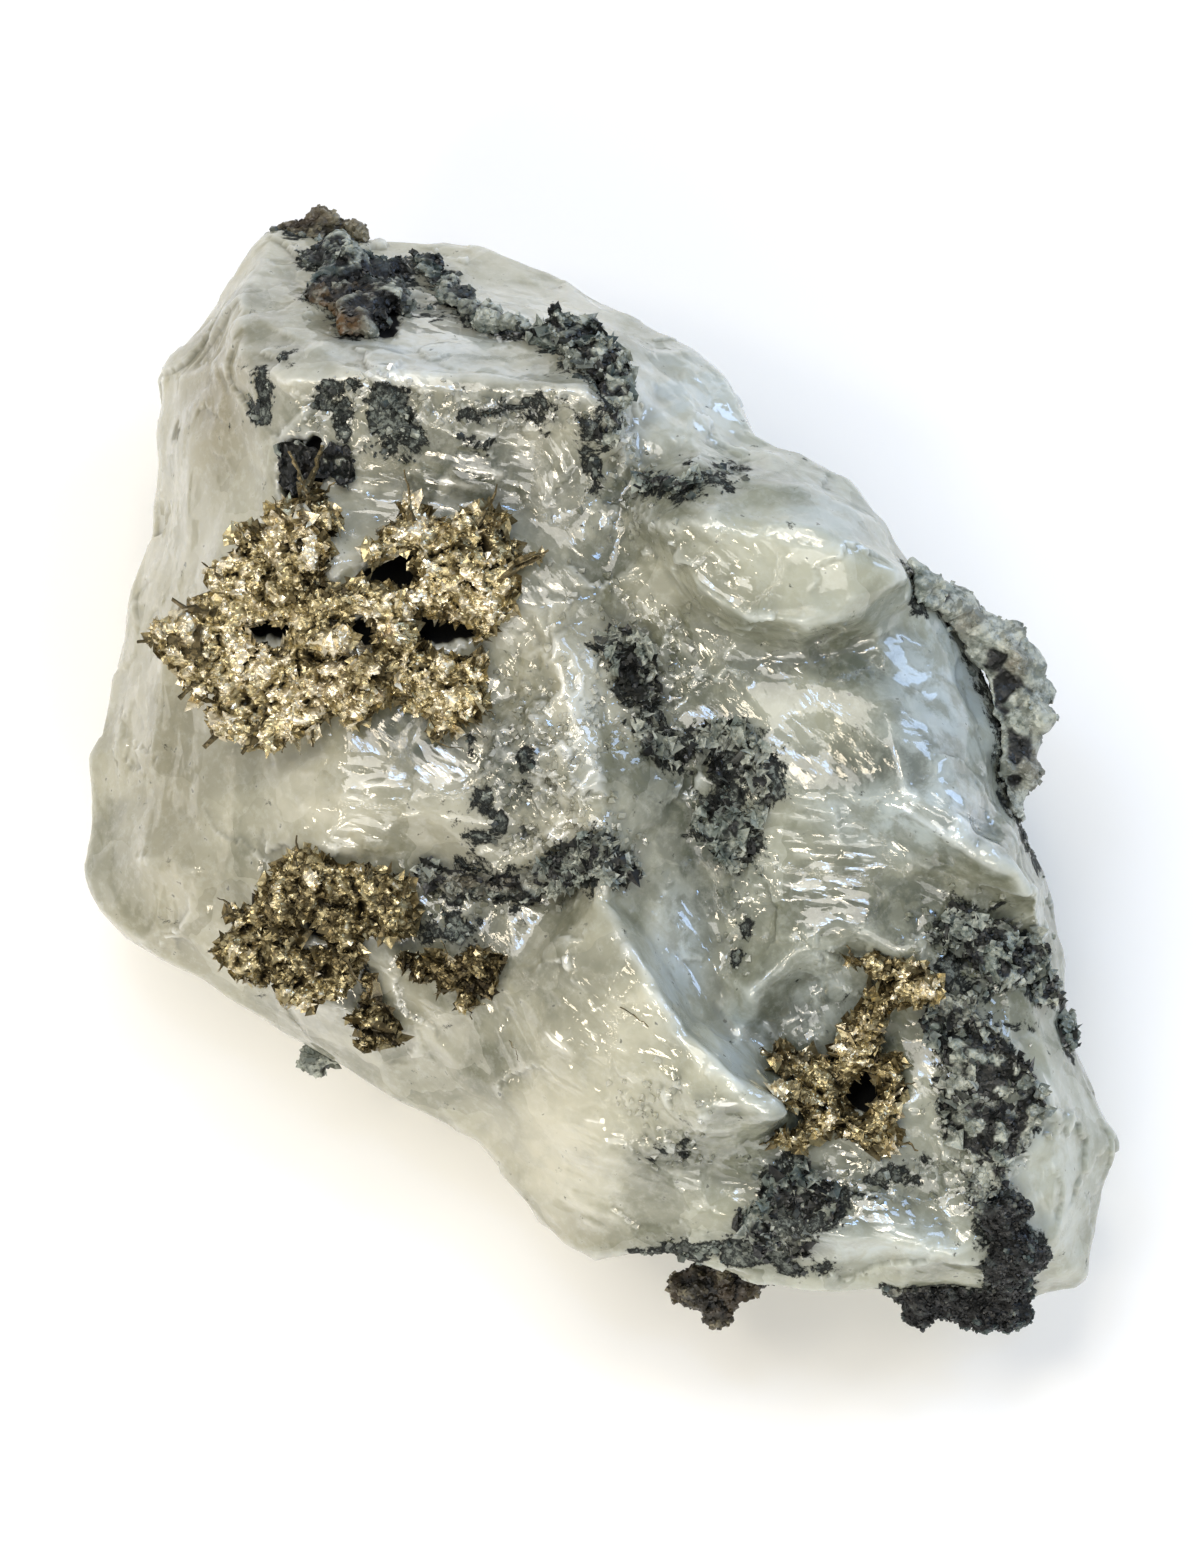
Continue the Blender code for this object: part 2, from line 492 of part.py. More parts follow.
def make_twig(name, ground, chains, seed):
    """A branching growth of silver: chains of lumps that bristle with short spikes."""
    bm = bmesh.new()
    chance = random.Random(seed)
    for chain in chains:
        places = add_chain(bm, ground, chain, 1.1)
        for place, lump in zip(places, chain):
            for _ in range(3):
                tip = place + random_direction(chance) * lump[2] * chance.uniform(1.6, 2.3)
                add_rod(bm, place, tip, lump[2] * 0.6, 0.2)
    return new_object(name, bm)


def make_ore(name, ground, chain, seed):
    """A rough clump: each lump of the chain carries smaller ones."""
    bm = bmesh.new()
    chance = random.Random(seed)
    for place, lump in zip(add_chain(bm, ground, chain, 0.2), chain):
        for _ in range(5):
            knob = place + random_direction(chance) * lump[2] * chance.uniform(0.6, 1.0)
            add_ball(bm, knob, lump[2] * chance.uniform(0.35, 0.6))
    return new_object(name, bm)


def finish_growth(piece, voxel, height, grain, triangles, seed, material):
    """Fuses a growth's lumps into one rough solid with few faces."""
    remesh(piece, voxel)
    roughen(piece, height, grain, seed)
    remesh(piece, voxel)
    keep_largest(piece)
    decimate(piece, triangles)
    piece.data.materials.append(material)


def make_silver_pieces(ground, silver):
    pieces = [
        make_mat("silver_mat_upper", ground, UPPER_MAT, 4),
        make_mat("silver_mat_lower", ground, LOWER_MAT, 9),
        make_twig("silver_tuft", ground, [TUFT], 3),
        make_twig("silver_twig", ground, [TWIG], 5),
        make_twig("silver_branch_right", ground, BRANCH, 6),
        make_twig("silver_neck", ground, [NECK], 7),
    ]
    for number, piece in enumerate(pieces):
        finish_growth(piece, SILVER_VOXEL, 0.5, 1.1, SILVER_DETAIL[piece.name], 20 + number, silver)
    return pieces


def make_ore_pieces(ground, ore, brown):
    pieces = []
    for number, (name, chain) in enumerate(ORE.items()):
        piece = make_ore(name, ground, chain, 60 + number)
        material = brown if name in BROWN_ORE else ore
        finish_growth(piece, ORE_VOXEL, 0.6, 1.6, ORE_DETAIL * len(chain) + 40, 40 + number, material)
        pieces.append(piece)
    return pieces


def swollen_copy(obj, gap):
    """A cutter: the piece grown by the gap all over."""
    mesh = obj.data.copy()
    normals = [vertex.normal.copy() for vertex in mesh.vertices]
    for vertex, normal in zip(mesh.vertices, normals):
        vertex.co += normal * gap * MM
    cutter = bpy.data.objects.new("cutter", mesh)
    bpy.context.scene.collection.objects.link(cutter)
    cutter.hide_render = True
    cutter.display_type = "WIRE"
    return cutter


def box_of(obj):
    corners = [vertex.co for vertex in obj.data.vertices]
    return [(min(c[axis] for c in corners), max(c[axis] for c in corners)) for axis in range(3)]


def boxes_meet(first, second, gap):
    return all(a[0] - gap < b[1] and b[0] - gap < a[1] for a, b in zip(box_of(first), box_of(second)))


def seat(piece, others):
    """Trims a piece so that a thin gap is left to everything it would run into."""
    for other in others:
        if not boxes_meet(piece, other, SEAT_GAP * MM):
            continue
        cutter = swollen_copy(other, SEAT_GAP)
        cut = piece.modifiers.new("Seat", "BOOLEAN")
        cut.operation = "DIFFERENCE"
        cut.solver = "EXACT"
        cut.use_self = True
        cut.object = cutter
        apply_modifiers(piece)
        bpy.data.objects.remove(cutter, do_unlink=True)
    keep_largest(piece)


def main():
    clear_scene()
    block = make_matrix()
    ground = Ground(block)
    silver = finish_colour("tarnished_silver", (0.52, 0.43, 0.24), 0.38, 1)
    ore = finish_colour("dark_ore", (0.10, 0.11, 0.10), 0.7, 0.2)
    brown = finish_colour("brown_ore", (0.17, 0.14, 0.10), 0.8, 0)
    growths = make_ore_pieces(ground, ore, brown) + make_silver_pieces(ground, silver)
    seated = [block]
    for piece in growths:
        seat(piece, seated)
        seated.append(piece)
    for piece in seated:
        piece.data.shade_smooth()
        piece.data.set_sharp_from_angle(angle=math.radians(40))


main()
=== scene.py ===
import math
import random
from functools import partial

import bmesh
import bpy
import numpy as np
from mathutils import Matrix, Vector, noise
from mathutils.bvhtree import BVHTree
from mathutils.kdtree import KDTree


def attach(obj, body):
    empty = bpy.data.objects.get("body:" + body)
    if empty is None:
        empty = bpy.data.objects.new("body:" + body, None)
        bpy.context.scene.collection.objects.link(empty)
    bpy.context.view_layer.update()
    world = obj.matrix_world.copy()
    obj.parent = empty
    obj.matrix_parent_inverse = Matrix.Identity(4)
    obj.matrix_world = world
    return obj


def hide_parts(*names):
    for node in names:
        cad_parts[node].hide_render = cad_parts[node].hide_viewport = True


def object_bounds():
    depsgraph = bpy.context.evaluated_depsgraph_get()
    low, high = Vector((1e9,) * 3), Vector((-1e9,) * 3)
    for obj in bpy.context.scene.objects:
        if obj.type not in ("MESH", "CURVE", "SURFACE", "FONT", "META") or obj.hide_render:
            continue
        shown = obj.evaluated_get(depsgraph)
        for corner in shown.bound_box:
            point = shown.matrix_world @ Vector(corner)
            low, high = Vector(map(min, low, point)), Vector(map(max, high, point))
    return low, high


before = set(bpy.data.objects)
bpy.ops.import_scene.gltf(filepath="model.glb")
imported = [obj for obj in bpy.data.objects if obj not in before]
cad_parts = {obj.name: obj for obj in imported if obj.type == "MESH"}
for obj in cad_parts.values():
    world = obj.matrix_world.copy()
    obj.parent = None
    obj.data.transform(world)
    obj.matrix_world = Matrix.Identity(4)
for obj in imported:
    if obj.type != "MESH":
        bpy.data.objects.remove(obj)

# The looks of a specimen of native silver: a block of milky, acid-etched calcite,
# hackly silver under a brown-gold tarnish, and rough dark ore.
# The block's display face has axes of its own: ACROSS to the right, UP along the face and
# OUT towards the viewer. Places on it are in millimetres, as in the part.

MM = 0.001
FACE_TURN = math.radians(48)
FACE_RISE = math.radians(75)
FACE_ORIGIN = (2.1, -0.9, 37.2)
VIEW_DISTANCE = 600.0  # from the face's origin to the camera
FRAME_HEIGHT = 108.6  # how much of the face's plane the picture's height takes in
FRAME_SENSOR = 36.0

CAD_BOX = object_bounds()

ACROSS = Vector((math.cos(FACE_TURN), math.sin(FACE_TURN), 0))
OUT = Vector((math.sin(FACE_TURN) * math.cos(FACE_RISE), -math.cos(FACE_TURN) * math.cos(FACE_RISE),
              math.sin(FACE_RISE)))
UP = OUT.cross(ACROSS)
FACE_TURNED = np.array([ACROSS, UP, OUT])


def face_point(across, up, out):
    """A place in the face's axes, in millimetres, as a world place in metres."""
    return (ACROSS * across + UP * up + OUT * out + Vector(FACE_ORIGIN)) * MM


def on_face(points):
    """World places in metres as (across, up, out) in millimetres."""
    return (points / MM - np.array(FACE_ORIGIN)) @ FACE_TURNED.T


# ---- mesh helpers ----

def new_object(name, mesh):
    obj = bpy.data.objects.new(name, mesh)
    bpy.context.scene.collection.objects.link(obj)
    return obj


def finished_mesh(bm, name):
    mesh = bpy.data.meshes.new(name)
    bm.to_mesh(mesh)
    bm.free()
    return mesh


def merged_copy(node, name):
    """A copy of a CAD node's mesh with its loose triangles joined up."""
    bm = bmesh.new()
    bm.from_mesh(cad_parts[node].data)
    bmesh.ops.remove_doubles(bm, verts=bm.verts[:], dist=0.000001)
    return new_object(name, finished_mesh(bm, name))


def apply_modifiers(obj):
    """Bakes the modifiers into the mesh."""
    graph = bpy.context.evaluated_depsgraph_get()
    mesh = bpy.data.meshes.new_from_object(obj.evaluated_get(graph))
    obj.modifiers.clear()
    old = obj.data
    obj.data = mesh
    bpy.data.meshes.remove(old)


def add_modifier(obj, kind, settings):
    modifier = obj.modifiers.new(kind.title(), kind)
    for key, value in settings.items():
        setattr(modifier, key, value)
    return modifier


def remesh(obj, voxel):
    add_modifier(obj, "REMESH", {"mode": "VOXEL", "voxel_size": voxel * MM})
    apply_modifiers(obj)


def keep_largest(obj):
    """Removes the crumbs that a remesh breaks off, so that one body is left."""
    a, b = ends_of(obj)
    label = np.arange(len(obj.data.vertices))
    while (label[a] != label[b]).any():
        least = np.minimum(label[a], label[b])
        np.minimum.at(label, a, least)
        np.minimum.at(label, b, least)
        label = label[label]
    strays = np.nonzero(label != np.bincount(label).argmax())[0]
    bm = bmesh.new()
    bm.from_mesh(obj.data)
    bm.verts.ensure_lookup_table()
    bmesh.ops.delete(bm, geom=[bm.verts[index] for index in strays], context="VERTS")
    bm.to_mesh(obj.data)
    bm.free()


def smooth(obj, passes):
    add_modifier(obj, "SMOOTH", {"iterations": passes})
    apply_modifiers(obj)


def decimate(obj, triangles, weights):
    """Thins the mesh out, a little more where the weights are high, and leaves it in triangles."""
    group = obj.vertex_groups.new(name="thin")
    for step in range(5):
        chosen = np.nonzero(np.round(weights * 4) == step)[0]
        group.add(chosen.tolist(), (step + 1) / 5, "REPLACE")
    obj.data.calc_loop_triangles()
    ratio = min(1, triangles / len(obj.data.loop_triangles))
    add_modifier(obj, "DECIMATE",
                 {"ratio": ratio, "vertex_group": group.name, "vertex_group_factor": THINNING})
    apply_modifiers(obj)
    obj.vertex_groups.clear()


def rows_of(vectors, field):
    flat = np.empty(len(vectors) * 3, np.float32)
    vectors.foreach_get(field, flat)
    return flat.reshape(-1, 3).astype(np.float64)


def points_of(obj):
    return rows_of(obj.data.vertices, "co")


def normals_of(obj):
    return rows_of(obj.data.vertex_normals, "vector")


def ends_of(obj):
    """The two vertices of each edge."""
    ends = np.empty(len(obj.data.edges) * 2, np.int32)
    obj.data.edges.foreach_get("vertices", ends)
    return ends.reshape(-1, 2).T


def move_points(obj, points):
    obj.data.vertices.foreach_set("co", points.astype(np.float32).ravel())
    obj.data.update()


def paint(obj, values, low=0.0, high=1.0):
    """Stores numbers per vertex, by name, for the materials and the scatters to read."""
    for name, numbers in values.items():
        layer = obj.data.attributes.get(name) or obj.data.attributes.new(name, "FLOAT", "POINT")
        clipped = np.clip(numbers, low, high) * np.ones(len(obj.data.vertices))
        layer.data.foreach_set("value", clipped.astype(np.float32))


def fade(distance, width):
    """1 at distance 0, falling smoothly to 0 at width."""
    share = np.clip(1 - distance / width, 0, 1)
    return share * share * (3 - 2 * share)


def noise_at(points, detail, seed, kind=noise.fractal, *settings):
    """Fractal noise from about -1 to 1 at each point, in the points' own units."""
    shift = Vector((seed * 5.3, seed * 2.9, seed * 7.1))
    return np.array([kind(Vector(point) + shift, 1.0, 2.1, detail, *settings) for point in points])


def ridges_at(points, detail, seed):
    """Ridged noise: sharp crests with rounded hollows between them, about 0 to 1."""
    return noise_at(points, detail, seed, noise.ridged_multi_fractal, 1.0, 2.0) / 2


# ---- the block: what etching and cleavage left on its surface ----

BLOCK_VOXEL = 0.27
BLOCK_TRIANGLES = 195000
THINNING = 0.000002  # how much sooner the hidden sides are thinned out than the face
RIB_HEIGHT = 0.42  # how high a rib of height 1 stands, in millimetres
RIB_BEND = 0.15  # how far a rib wanders, in rib spacings
GRAIN_LIE = -38.0  # which way the fine cleavage runs outside the ribbed patches
RIB_CREST = 0.68  # where the crest lies between one rib's foot and the next
SHARPEN_PASSES = 80
SHARPEN_STRENGTH = 0.95
SHARPEN_LIMIT = 0.6  # the furthest that sharpening moves a point, in millimetres
PATCH_EDGE = 1.25  # how far a patch fades out, in half widths
DEEPEST_PATCH = -24  # how far down the sides a patch reaches
HIDDEN_BELOW = -26  # the sides below this are plain flats of milky calcite

# Scallops, flats and crystals that cover the block: their spacing in millimetres, how deep they are
# hollowed, how far they tip, and a seed.
BOWLS = (4.2, 0.022, 0.07, 1)
FLATS = (6.5, 0.004, 0.07, 5)
CRYSTALS = (1.5, 0.1, 0.3, 2)

# Patches on the face. Each starts with across, up, half width, half height, in millimetres.

# Ribs that cleavage and etching left, patch by patch:
# across, up, half width, half height, lie in degrees, length and spacing of the ribs, height of a rib.
RIBS = [
    (-9, 21.6, 5.4, 3.6, -13, 5, 1.3, 0.34), (-16.2, 19.4, 2.6, 2.8, -4, 3.4, 1.3, 0.3),
    (-2.8, 21, 2, 3.4, -62, 4, 2.2, 0.34), (5, 27.4, 5, 5, -42, 5, 1.9, 0.24),
    (-17.6, -0.6, 4.4, 2.2, -8, 5, 1.2, 0.28), (-17.8, -4, 4, 3, -14, 5, 2.2, 0.24),
    (-10.6, 1.6, 3, 3, -38, 5, 1.6, 0.14), (-1.6, -18.6, 3.6, 5, -38, 5, 1.15, 0.3),
    (3.4, -19.6, 4, 4, -30, 4, 1.4, 0.22), (8.4, -23.6, 4.6, 2.6, -3, 5, 1, 0.28),
    (-0.8, -27.6, 3.4, 4.6, -14, 3.4, 2.1, 0.36), (4.6, -27.4, 4, 2.6, -22, 5, 1.4, 0.24),
    (-6.6, -18.4, 3.4, 4.4, -64, 8, 2.6, 0.2), (15.4, -4.6, 5.8, 3.6, -5, 4, 1.3, 0.32),
    (24, -3.6, 5.4, 3.6, -30, 5, 1.3, 0.34), (13.6, -8.6, 6, 3.2, -8, 5, 1.3, 0.16),
    (-1.2, -31, 4, 2, -30, 3, 1.2, 0.24), (6.4, 16.6, 3, 3, -34, 3, 1.1, 0.16),
    (8.6, 14.6, 4, 3, -40, 5, 1.7, 0.14), (5, 10.6, 4, 4, -52, 6, 1.8, 0.26),
    (6.6, -12, 2.6, 6, -58, 7, 1.7, 0.28), (16.4, -17, 4, 4.6, -66, 7, 2, 0.16),
    (12, -27.6, 5, 2.4, -20, 4, 1.5, 0.24), (17, -32, 8, 2.6, -12, 7, 1.4, 0.22),
    (19.6, -26.8, 4.4, 2, -16, 4, 1.3, 0.24), (30.6, -26.4, 4, 8, -70, 6, 1.9, 0.26),
    (-8, 33, 10, 3.4, -16, 8, 2.6, 0.3), (-31, 8, 5, 26, 84, 16, 5, 0.3),
    (11, -18.6, 2, 4, -52, 4, 1.2, 0.3), (-18, -17.6, 10, 3.6, -34, 9, 2.8, 0.2),
    (-12, -19, 3, 3, -58, 6, 1.6, 0.2), (14, 9, 6, 2.4, -30, 5, 1.9, 0.1),
    (10, 25, 6, 4, -34, 5, 1.7, 0.24),
]

# Sugary places where small blocky crystals show, with strength.
SUGARY = [
    (-3.4, 2, 6, 8, 0.9), (3.6, 7, 4, 6, 0.8), (-1.6, -5.4, 6, 3, 1), (10.6, -8, 3, 6, 0.3),
    (-9.6, -8.6, 8, 2.6, 0.6), (2.2, 20, 3, 5, 0.7), (-6, 25.6, 8, 2, 0.8), (-15.6, 25.6, 6, 3, 0.8),
    (26, -12, 6, 4, 0.8), (27, -24, 4, 8, 0.8), (5, -26, 3, 2, 0.6), (17.6, -29, 8, 2.2, 0.7),
    (4, -22.6, 4, 2, 0.4), (-1, 12, 4, 3, 0.4),
]

# Places that broke smoothly, and places that are worn round.
SMOOTH = [
    (-1, -24, 14, 12), (-30, 8, 9, 28), (-18, -2, 8, 6), (12.6, 15.4, 9, 6), (14, -32, 9, 3),
    (-20, -20, 12, 8), (4, -11.6, 5, 8), (-8, 33, 14, 5), (18, 4, 9, 7), (20, -9, 8, 4), (-16, 2, 7, 5),
    (-6, -10.6, 4, 3), (18, 3, 7, 5),
]
ROUNDED = [
    (33, -27, 6, 12), (16.4, -12.2, 6.4, 2.6), (13.6, -24.2, 3, 2.4), (26, 5, 4, 8), (-17, 1.6, 5, 4),
    (-6, -10.6, 4, 2.4), (18, 5, 7, 5), (9, -31, 3, 2), (-12, 3.4, 5, 3),
]

# Places that broke into flat plates.
PLATES = [
    (-26, 30, 8, 8), (10, 27, 6, 4),
]

# Ore dust and films, flush with the calcite, with strength.
DUST = [
    (-24, 26.8, 1.2, 2.7, 1.5), (-17.4, 26.7, 3.8, 1.3, 3.4), (-14.6, 24.2, 2.8, 2.4, 2.6),
    (-18, 24.6, 1.2, 1.6, 1.4), (-22, 29.6, 1.6, 1, 0.7), (-4.4, 26.4, 3.6, 0.9, 0.6),
    (-0.6, 21.6, 1.3, 2.4, 0.75), (-9, -7.6, 9.4, 1.5, 1.0), (-11.4, -11, 5.4, 2, 0.55),
    (-7, -1.4, 3.6, 1.8, 0.75), (-5.6, 2, 2, 2.6, 0.7), (-7.6, -3.9, 3.4, 1.7, 0.9),
    (-4.2, 6, 1.2, 1.2, 0.7), (-9, 2.2, 1.1, 1, 0.5), (-9.6, -10.4, 7, 2.6, 0.4),
    (10.4, -10, 0.8, 2.6, 0.9), (9.6, -13, 0.6, 1.4, 0.9), (4.3, -26.6, 2.4, 1.3, 0.55),
    (6, -25.6, 1, 1.2, 0.7), (20.8, -28.7, 2.8, 0.9, 1.5), (5.4, -33.8, 4, 0.8, 0.95),
    (2.6, -23.6, 1.2, 0.6, 0.4), (26.4, -20, 4.4, 9, 0.8), (27, -13, 5, 3, 0.8), (-2, 31, 4.4, 1.6, 0.7),
    (-12, 34, 4, 3, 0.5), (22, -27.6, 3, 1.6, 0.7), (-16.6, -15.4, 0.7, 2.4, 1.0), (1, -7, 4, 2, 0.6),
    (3, 2, 2, 6, 0.4), (-2.4, 28.4, 3.4, 0.9, 0.6), (7, 21.4, 4, 1.6, 0.6), (8.6, -33.9, 6, 1.2, 1.6),
    (15, -35, 3, 0.8, 1.6), (12.2, -33.2, 4.4, 1.3, 1.1), (7.4, -0.4, 1.2, 1.6, 1.2),
    (-8, 25.4, 3, 1, 0.8), (-1, 24.4, 2, 1.6, 0.9), (-8.6, 23.4, 2.2, 0.9, 0.7),
    (-3.6, 24.8, 2.4, 1.2, 0.7),
]

# Places eaten out to black holes.
HOLES = [
    (-14.3, 14.5, 2.3, 1.7), (-16.8, 9.8, 2, 1.6), (-11.6, 10.2, 2.8, 1.2), (-24.4, 10.4, 1.3, 0.9),
    (-22.2, 10.3, 1.4, 1), (-21.6, 21.4, 1.3, 2.3), (-20.2, 22, 0.8, 1.8), (17.5, -20.9, 1.6, 1.4),
    (-15.3, 32.8, 1.1, 1.6), (-15.2, -9.8, 2, 1.1), (-20, -11, 1.1, 0.9), (-11.6, 6.9, 0.9, 1.4),
    (18.6, -22.4, 1.9, 1.5),
]

# Milky places, which look whitish, and thick clear ones, which look grey-green because the light
# goes in and stays, with strength.
MILKY = [
    (-30.6, 10, 8, 26, 0.5), (-18.6, -2.6, 6, 4, 0.7), (1, -20, 7, 8, 0.7), (-3, -27, 7, 6, 0.9),
    (4, -11.6, 1.4, 4.6, 1.0), (8, -20, 3.4, 3, 0.9), (3, -16.4, 2.6, 3, 0.8), (9.6, -21.8, 2, 1.2, 0.6),
    (12.6, 15.4, 9, 5, 0.8), (2, 26, 9, 6, 0.5), (-14, 28.2, 12, 0.9, 0.9), (-8, 33, 14, 4, 0.8),
    (31, -29, 6, 9, 1.0), (10, 27, 5, 4, 0.8), (21.4, -33.4, 6, 1.6, 0.9), (-1.6, 6, 2.2, 7, 0.8),
    (-19.6, 14, 1.6, 7, 0.6), (-22, -12, 14, 6, 0.25), (-2.4, -3.4, 2.6, 1.6, 0.8), (5, 26.4, 6, 4, 0.9),
]
CLEAR = [
    (6, 0, 5, 14, 0.85), (-11, 4, 6, 6, 0.8), (-14, 3, 5, 3, 0.7), (-12, -10.6, 10, 3.6, 0.8),
    (16, -17, 6, 5, 1.0), (1.4, 19, 4, 6, 0.8), (-9, 21, 10, 5.6, 1.0), (15, 7.6, 9, 2.6, 0.8),
    (-20, -18, 9, 4, 0.3), (7, -27, 9, 3, 0.5), (20, -9, 9, 4, 0.9), (9, -8, 4, 7, 0.6),
    (-4, -14.6, 5, 4, 0.4), (-6, 0, 4, 5, 1.0), (18, -28.6, 8, 2.6, 0.8), (-8, -20, 4, 4, 0.3),
    (-20, 25, 4, 3, 0.5), (22, 2, 6, 5, 0.7), (-5, 26, 6, 2, 0.7), (-2, 13, 6, 5, 0.6),
    (26, -14, 7, 6, 0.6), (16, 0, 7, 4, 0.6), (25, -4, 7, 3, 0.5), (12.8, -23.8, 2.4, 1.8, 1.0),
    (12.6, -32.8, 5.6, 1.8, 1.0),
]

# Where the calcite is painted bluish white, partly its own tone and partly a painted reflection of the
# window's light, and where it leans to beige, with strength.
BLUISH_TONE_AND_WINDOW_SHEEN = [
    (5.4, -12.6, 2.4, 6, 1.0), (9.8, -18.8, 2.6, 3.6, 1.0), (22, -3, 8, 3.4, 1.0), (24, 6, 6, 9, 0.8),
    (-14, 30, 8, 2, 0.7), (16, 18, 5, 3.4, 0.6), (6, 27, 7, 5, 0.8), (-1.2, 5, 1.6, 7, 0.7),
    (31, -29, 6, 9, 0.5), (-8, 33, 12, 4, 0.4), (20.6, -33, 7, 2, 0.9), (-12, 28.2, 12, 0.9, 0.7),
    (16, -15, 5, 5, 0.4),
]
WARM = [
    (-27.4, 27, 4, 8, 1.0), (-31, 0, 5, 24, 0.4), (9, 12.4, 5, 2.4, 0.15), (-3, -33, 6, 2.4, 0.3),
    (-20, -8, 10, 4, 0.2), (4, 12, 4, 4, 0.2), (-20, 3, 6, 3, 0.2),
]


def in_patch(face, patch):
    """How far inside an oval patch each point is: 1 in the middle, 0 outside."""
    across, up, half_width, half_height = patch[:4]
    reach = np.hypot((face[:, 0] - across) / half_width, (face[:, 1] - up) / half_height)
    return fade(reach, PATCH_EDGE) * (face[:, 2] > DEEPEST_PATCH)


def sum_of(face, patches):
    return sum(in_patch(face, patch) * (patch[4] if len(patch) > 4 else 1) for patch in patches)


def rib_relief(face):
    """Parallel ribs with one long slope and one short, broken up along their length. Gives the relief,
    each point's place along and across the grain in millimetres, how far inside a ribbed patch it is,
    and how near the thin edge of a rib."""
    relief = np.zeros(len(face))
    inside = np.full(len(face), 0.1)
    edges = np.zeros(len(face))
    lie = math.radians(GRAIN_LIE)
    grain_along = face[:, 0] * math.cos(lie) + face[:, 1] * math.sin(lie) + face[:, 2] * 0.7
    grain_across = face[:, 1] * math.cos(lie) - face[:, 0] * math.sin(lie) + face[:, 2] * 0.5
    for number, (*oval, angle, length, spacing, height) in enumerate(RIBS):
        weight = in_patch(face, oval)
        near = np.nonzero(weight > 0.01)[0]
        lie = math.radians(angle)
        along = face[near, 0] * math.cos(lie) + face[near, 1] * math.sin(lie)
        beside = face[near, 1] * math.cos(lie) - face[near, 0] * math.sin(lie)
        bend = noise_at(np.column_stack([along / length, beside / (spacing * 5), beside * 0]), 1, number)
        place = beside / spacing + bend * RIB_BEND
        rib = np.floor(place)
        share = place - rib
        slope = np.where(share < RIB_CREST, share / RIB_CREST, (1 - share) / (1 - RIB_CREST))
        gaps = noise_at(np.column_stack([along / (length * 0.6), rib * 3.7, rib * 0]), 1, number + 9)
        relief[near] += weight[near] * height * RIB_HEIGHT * slope * np.clip(0.7 + gaps * 1.5, 0, 1.4)
        thin = fade(np.abs(share - RIB_CREST), 0.26) * np.clip(gaps * 5 - 0.3, 0, 1) * min(1, height * 3.5)
        edges[near] = np.maximum(edges[near], weight[near] * thin)
        closer = weight[near] > inside[near]
        grain_along[near[closer]] = along[closer] + number * 20
        grain_across[near[closer]] = place[closer] * spacing
        inside = np.maximum(inside, weight)
    return relief, grain_along, grain_across, inside, edges


def cell_relief(points, spacing, bowl, tilt, seed):
    """Scalloped relief: shallow bowls and tilted flats that meet in crisp edges."""
    chance = np.random.default_rng(seed)
    places = points / MM
    low, high = places.min(0), places.max(0)
    count = int(np.prod((high - low) / spacing))
    middles = chance.uniform(low, high, (count, 3))
    slopes = chance.normal(0, tilt, (count, 3))
    tree = KDTree(count)
    for index, middle in enumerate(middles):
        tree.insert(middle, index)
    tree.balance()
    nearest = np.array([[found[1] for found in tree.find_n(place, 4)] for place in places])
    away = places[:, None, :] - middles[nearest]
    heights = (bowl * (away ** 2).sum(2) + (away * slopes[nearest]).sum(2)).min(1)
    return heights - heights.mean()


def nearness_to(nodes, points, reach):
    """1 on the named CAD nodes, falling to 0 at reach millimetres from them."""
    verts = []
    faces = []
    for node in nodes:
        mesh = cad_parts[node].data
        start = len(verts)
        verts += [vertex.co.copy() for vertex in mesh.vertices]
        faces += [[start + corner for corner in polygon.vertices] for polygon in mesh.polygons]
    tree = BVHTree.FromPolygons(verts, faces)
    found = [tree.find_nearest(point, reach * MM)[3] for point in points]
    return np.array([0 if far is None else 1 - far / (reach * MM) for far in found])


def mean_of_neighbours(obj, values, passes):
    """Spreads per-vertex places over the mesh."""
    a, b = ends_of(obj)
    size = len(values)
    count = 1 + np.bincount(a, minlength=size) + np.bincount(b, minlength=size)
    for _ in range(passes):
        sums = [column + np.bincount(a, column[b], size) + np.bincount(b, column[a], size)
                for column in values.T]
        values = np.column_stack(sums) / count[:, None]
    return values


def sharpened(obj, points):
    """Brings out the edges and creases that a smooth surface has lost."""
    shift = (points - mean_of_neighbours(obj, points, SHARPEN_PASSES)) * SHARPEN_STRENGTH
    far = np.linalg.norm(shift, axis=1, keepdims=True)
    return points + shift * np.minimum(1, SHARPEN_LIMIT * MM / np.maximum(far, 0.000001))


def keep_in_box(points):
    return np.clip(points, np.array(CAD_BOX[0]), np.array(CAD_BOX[1]))


def proudness(obj, points, passes):
    """How far each point stands out of its surroundings, in millimetres."""
    return ((points - mean_of_neighbours(obj, points, passes)) * normals_of(obj)).sum(1) / MM


ORE_NODES = [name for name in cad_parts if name.startswith("ore_")]
SILVER_NODES = [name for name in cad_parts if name.startswith("silver_")]
BROWN_NODES = ("ore_tip_top", "ore_foot_lump")


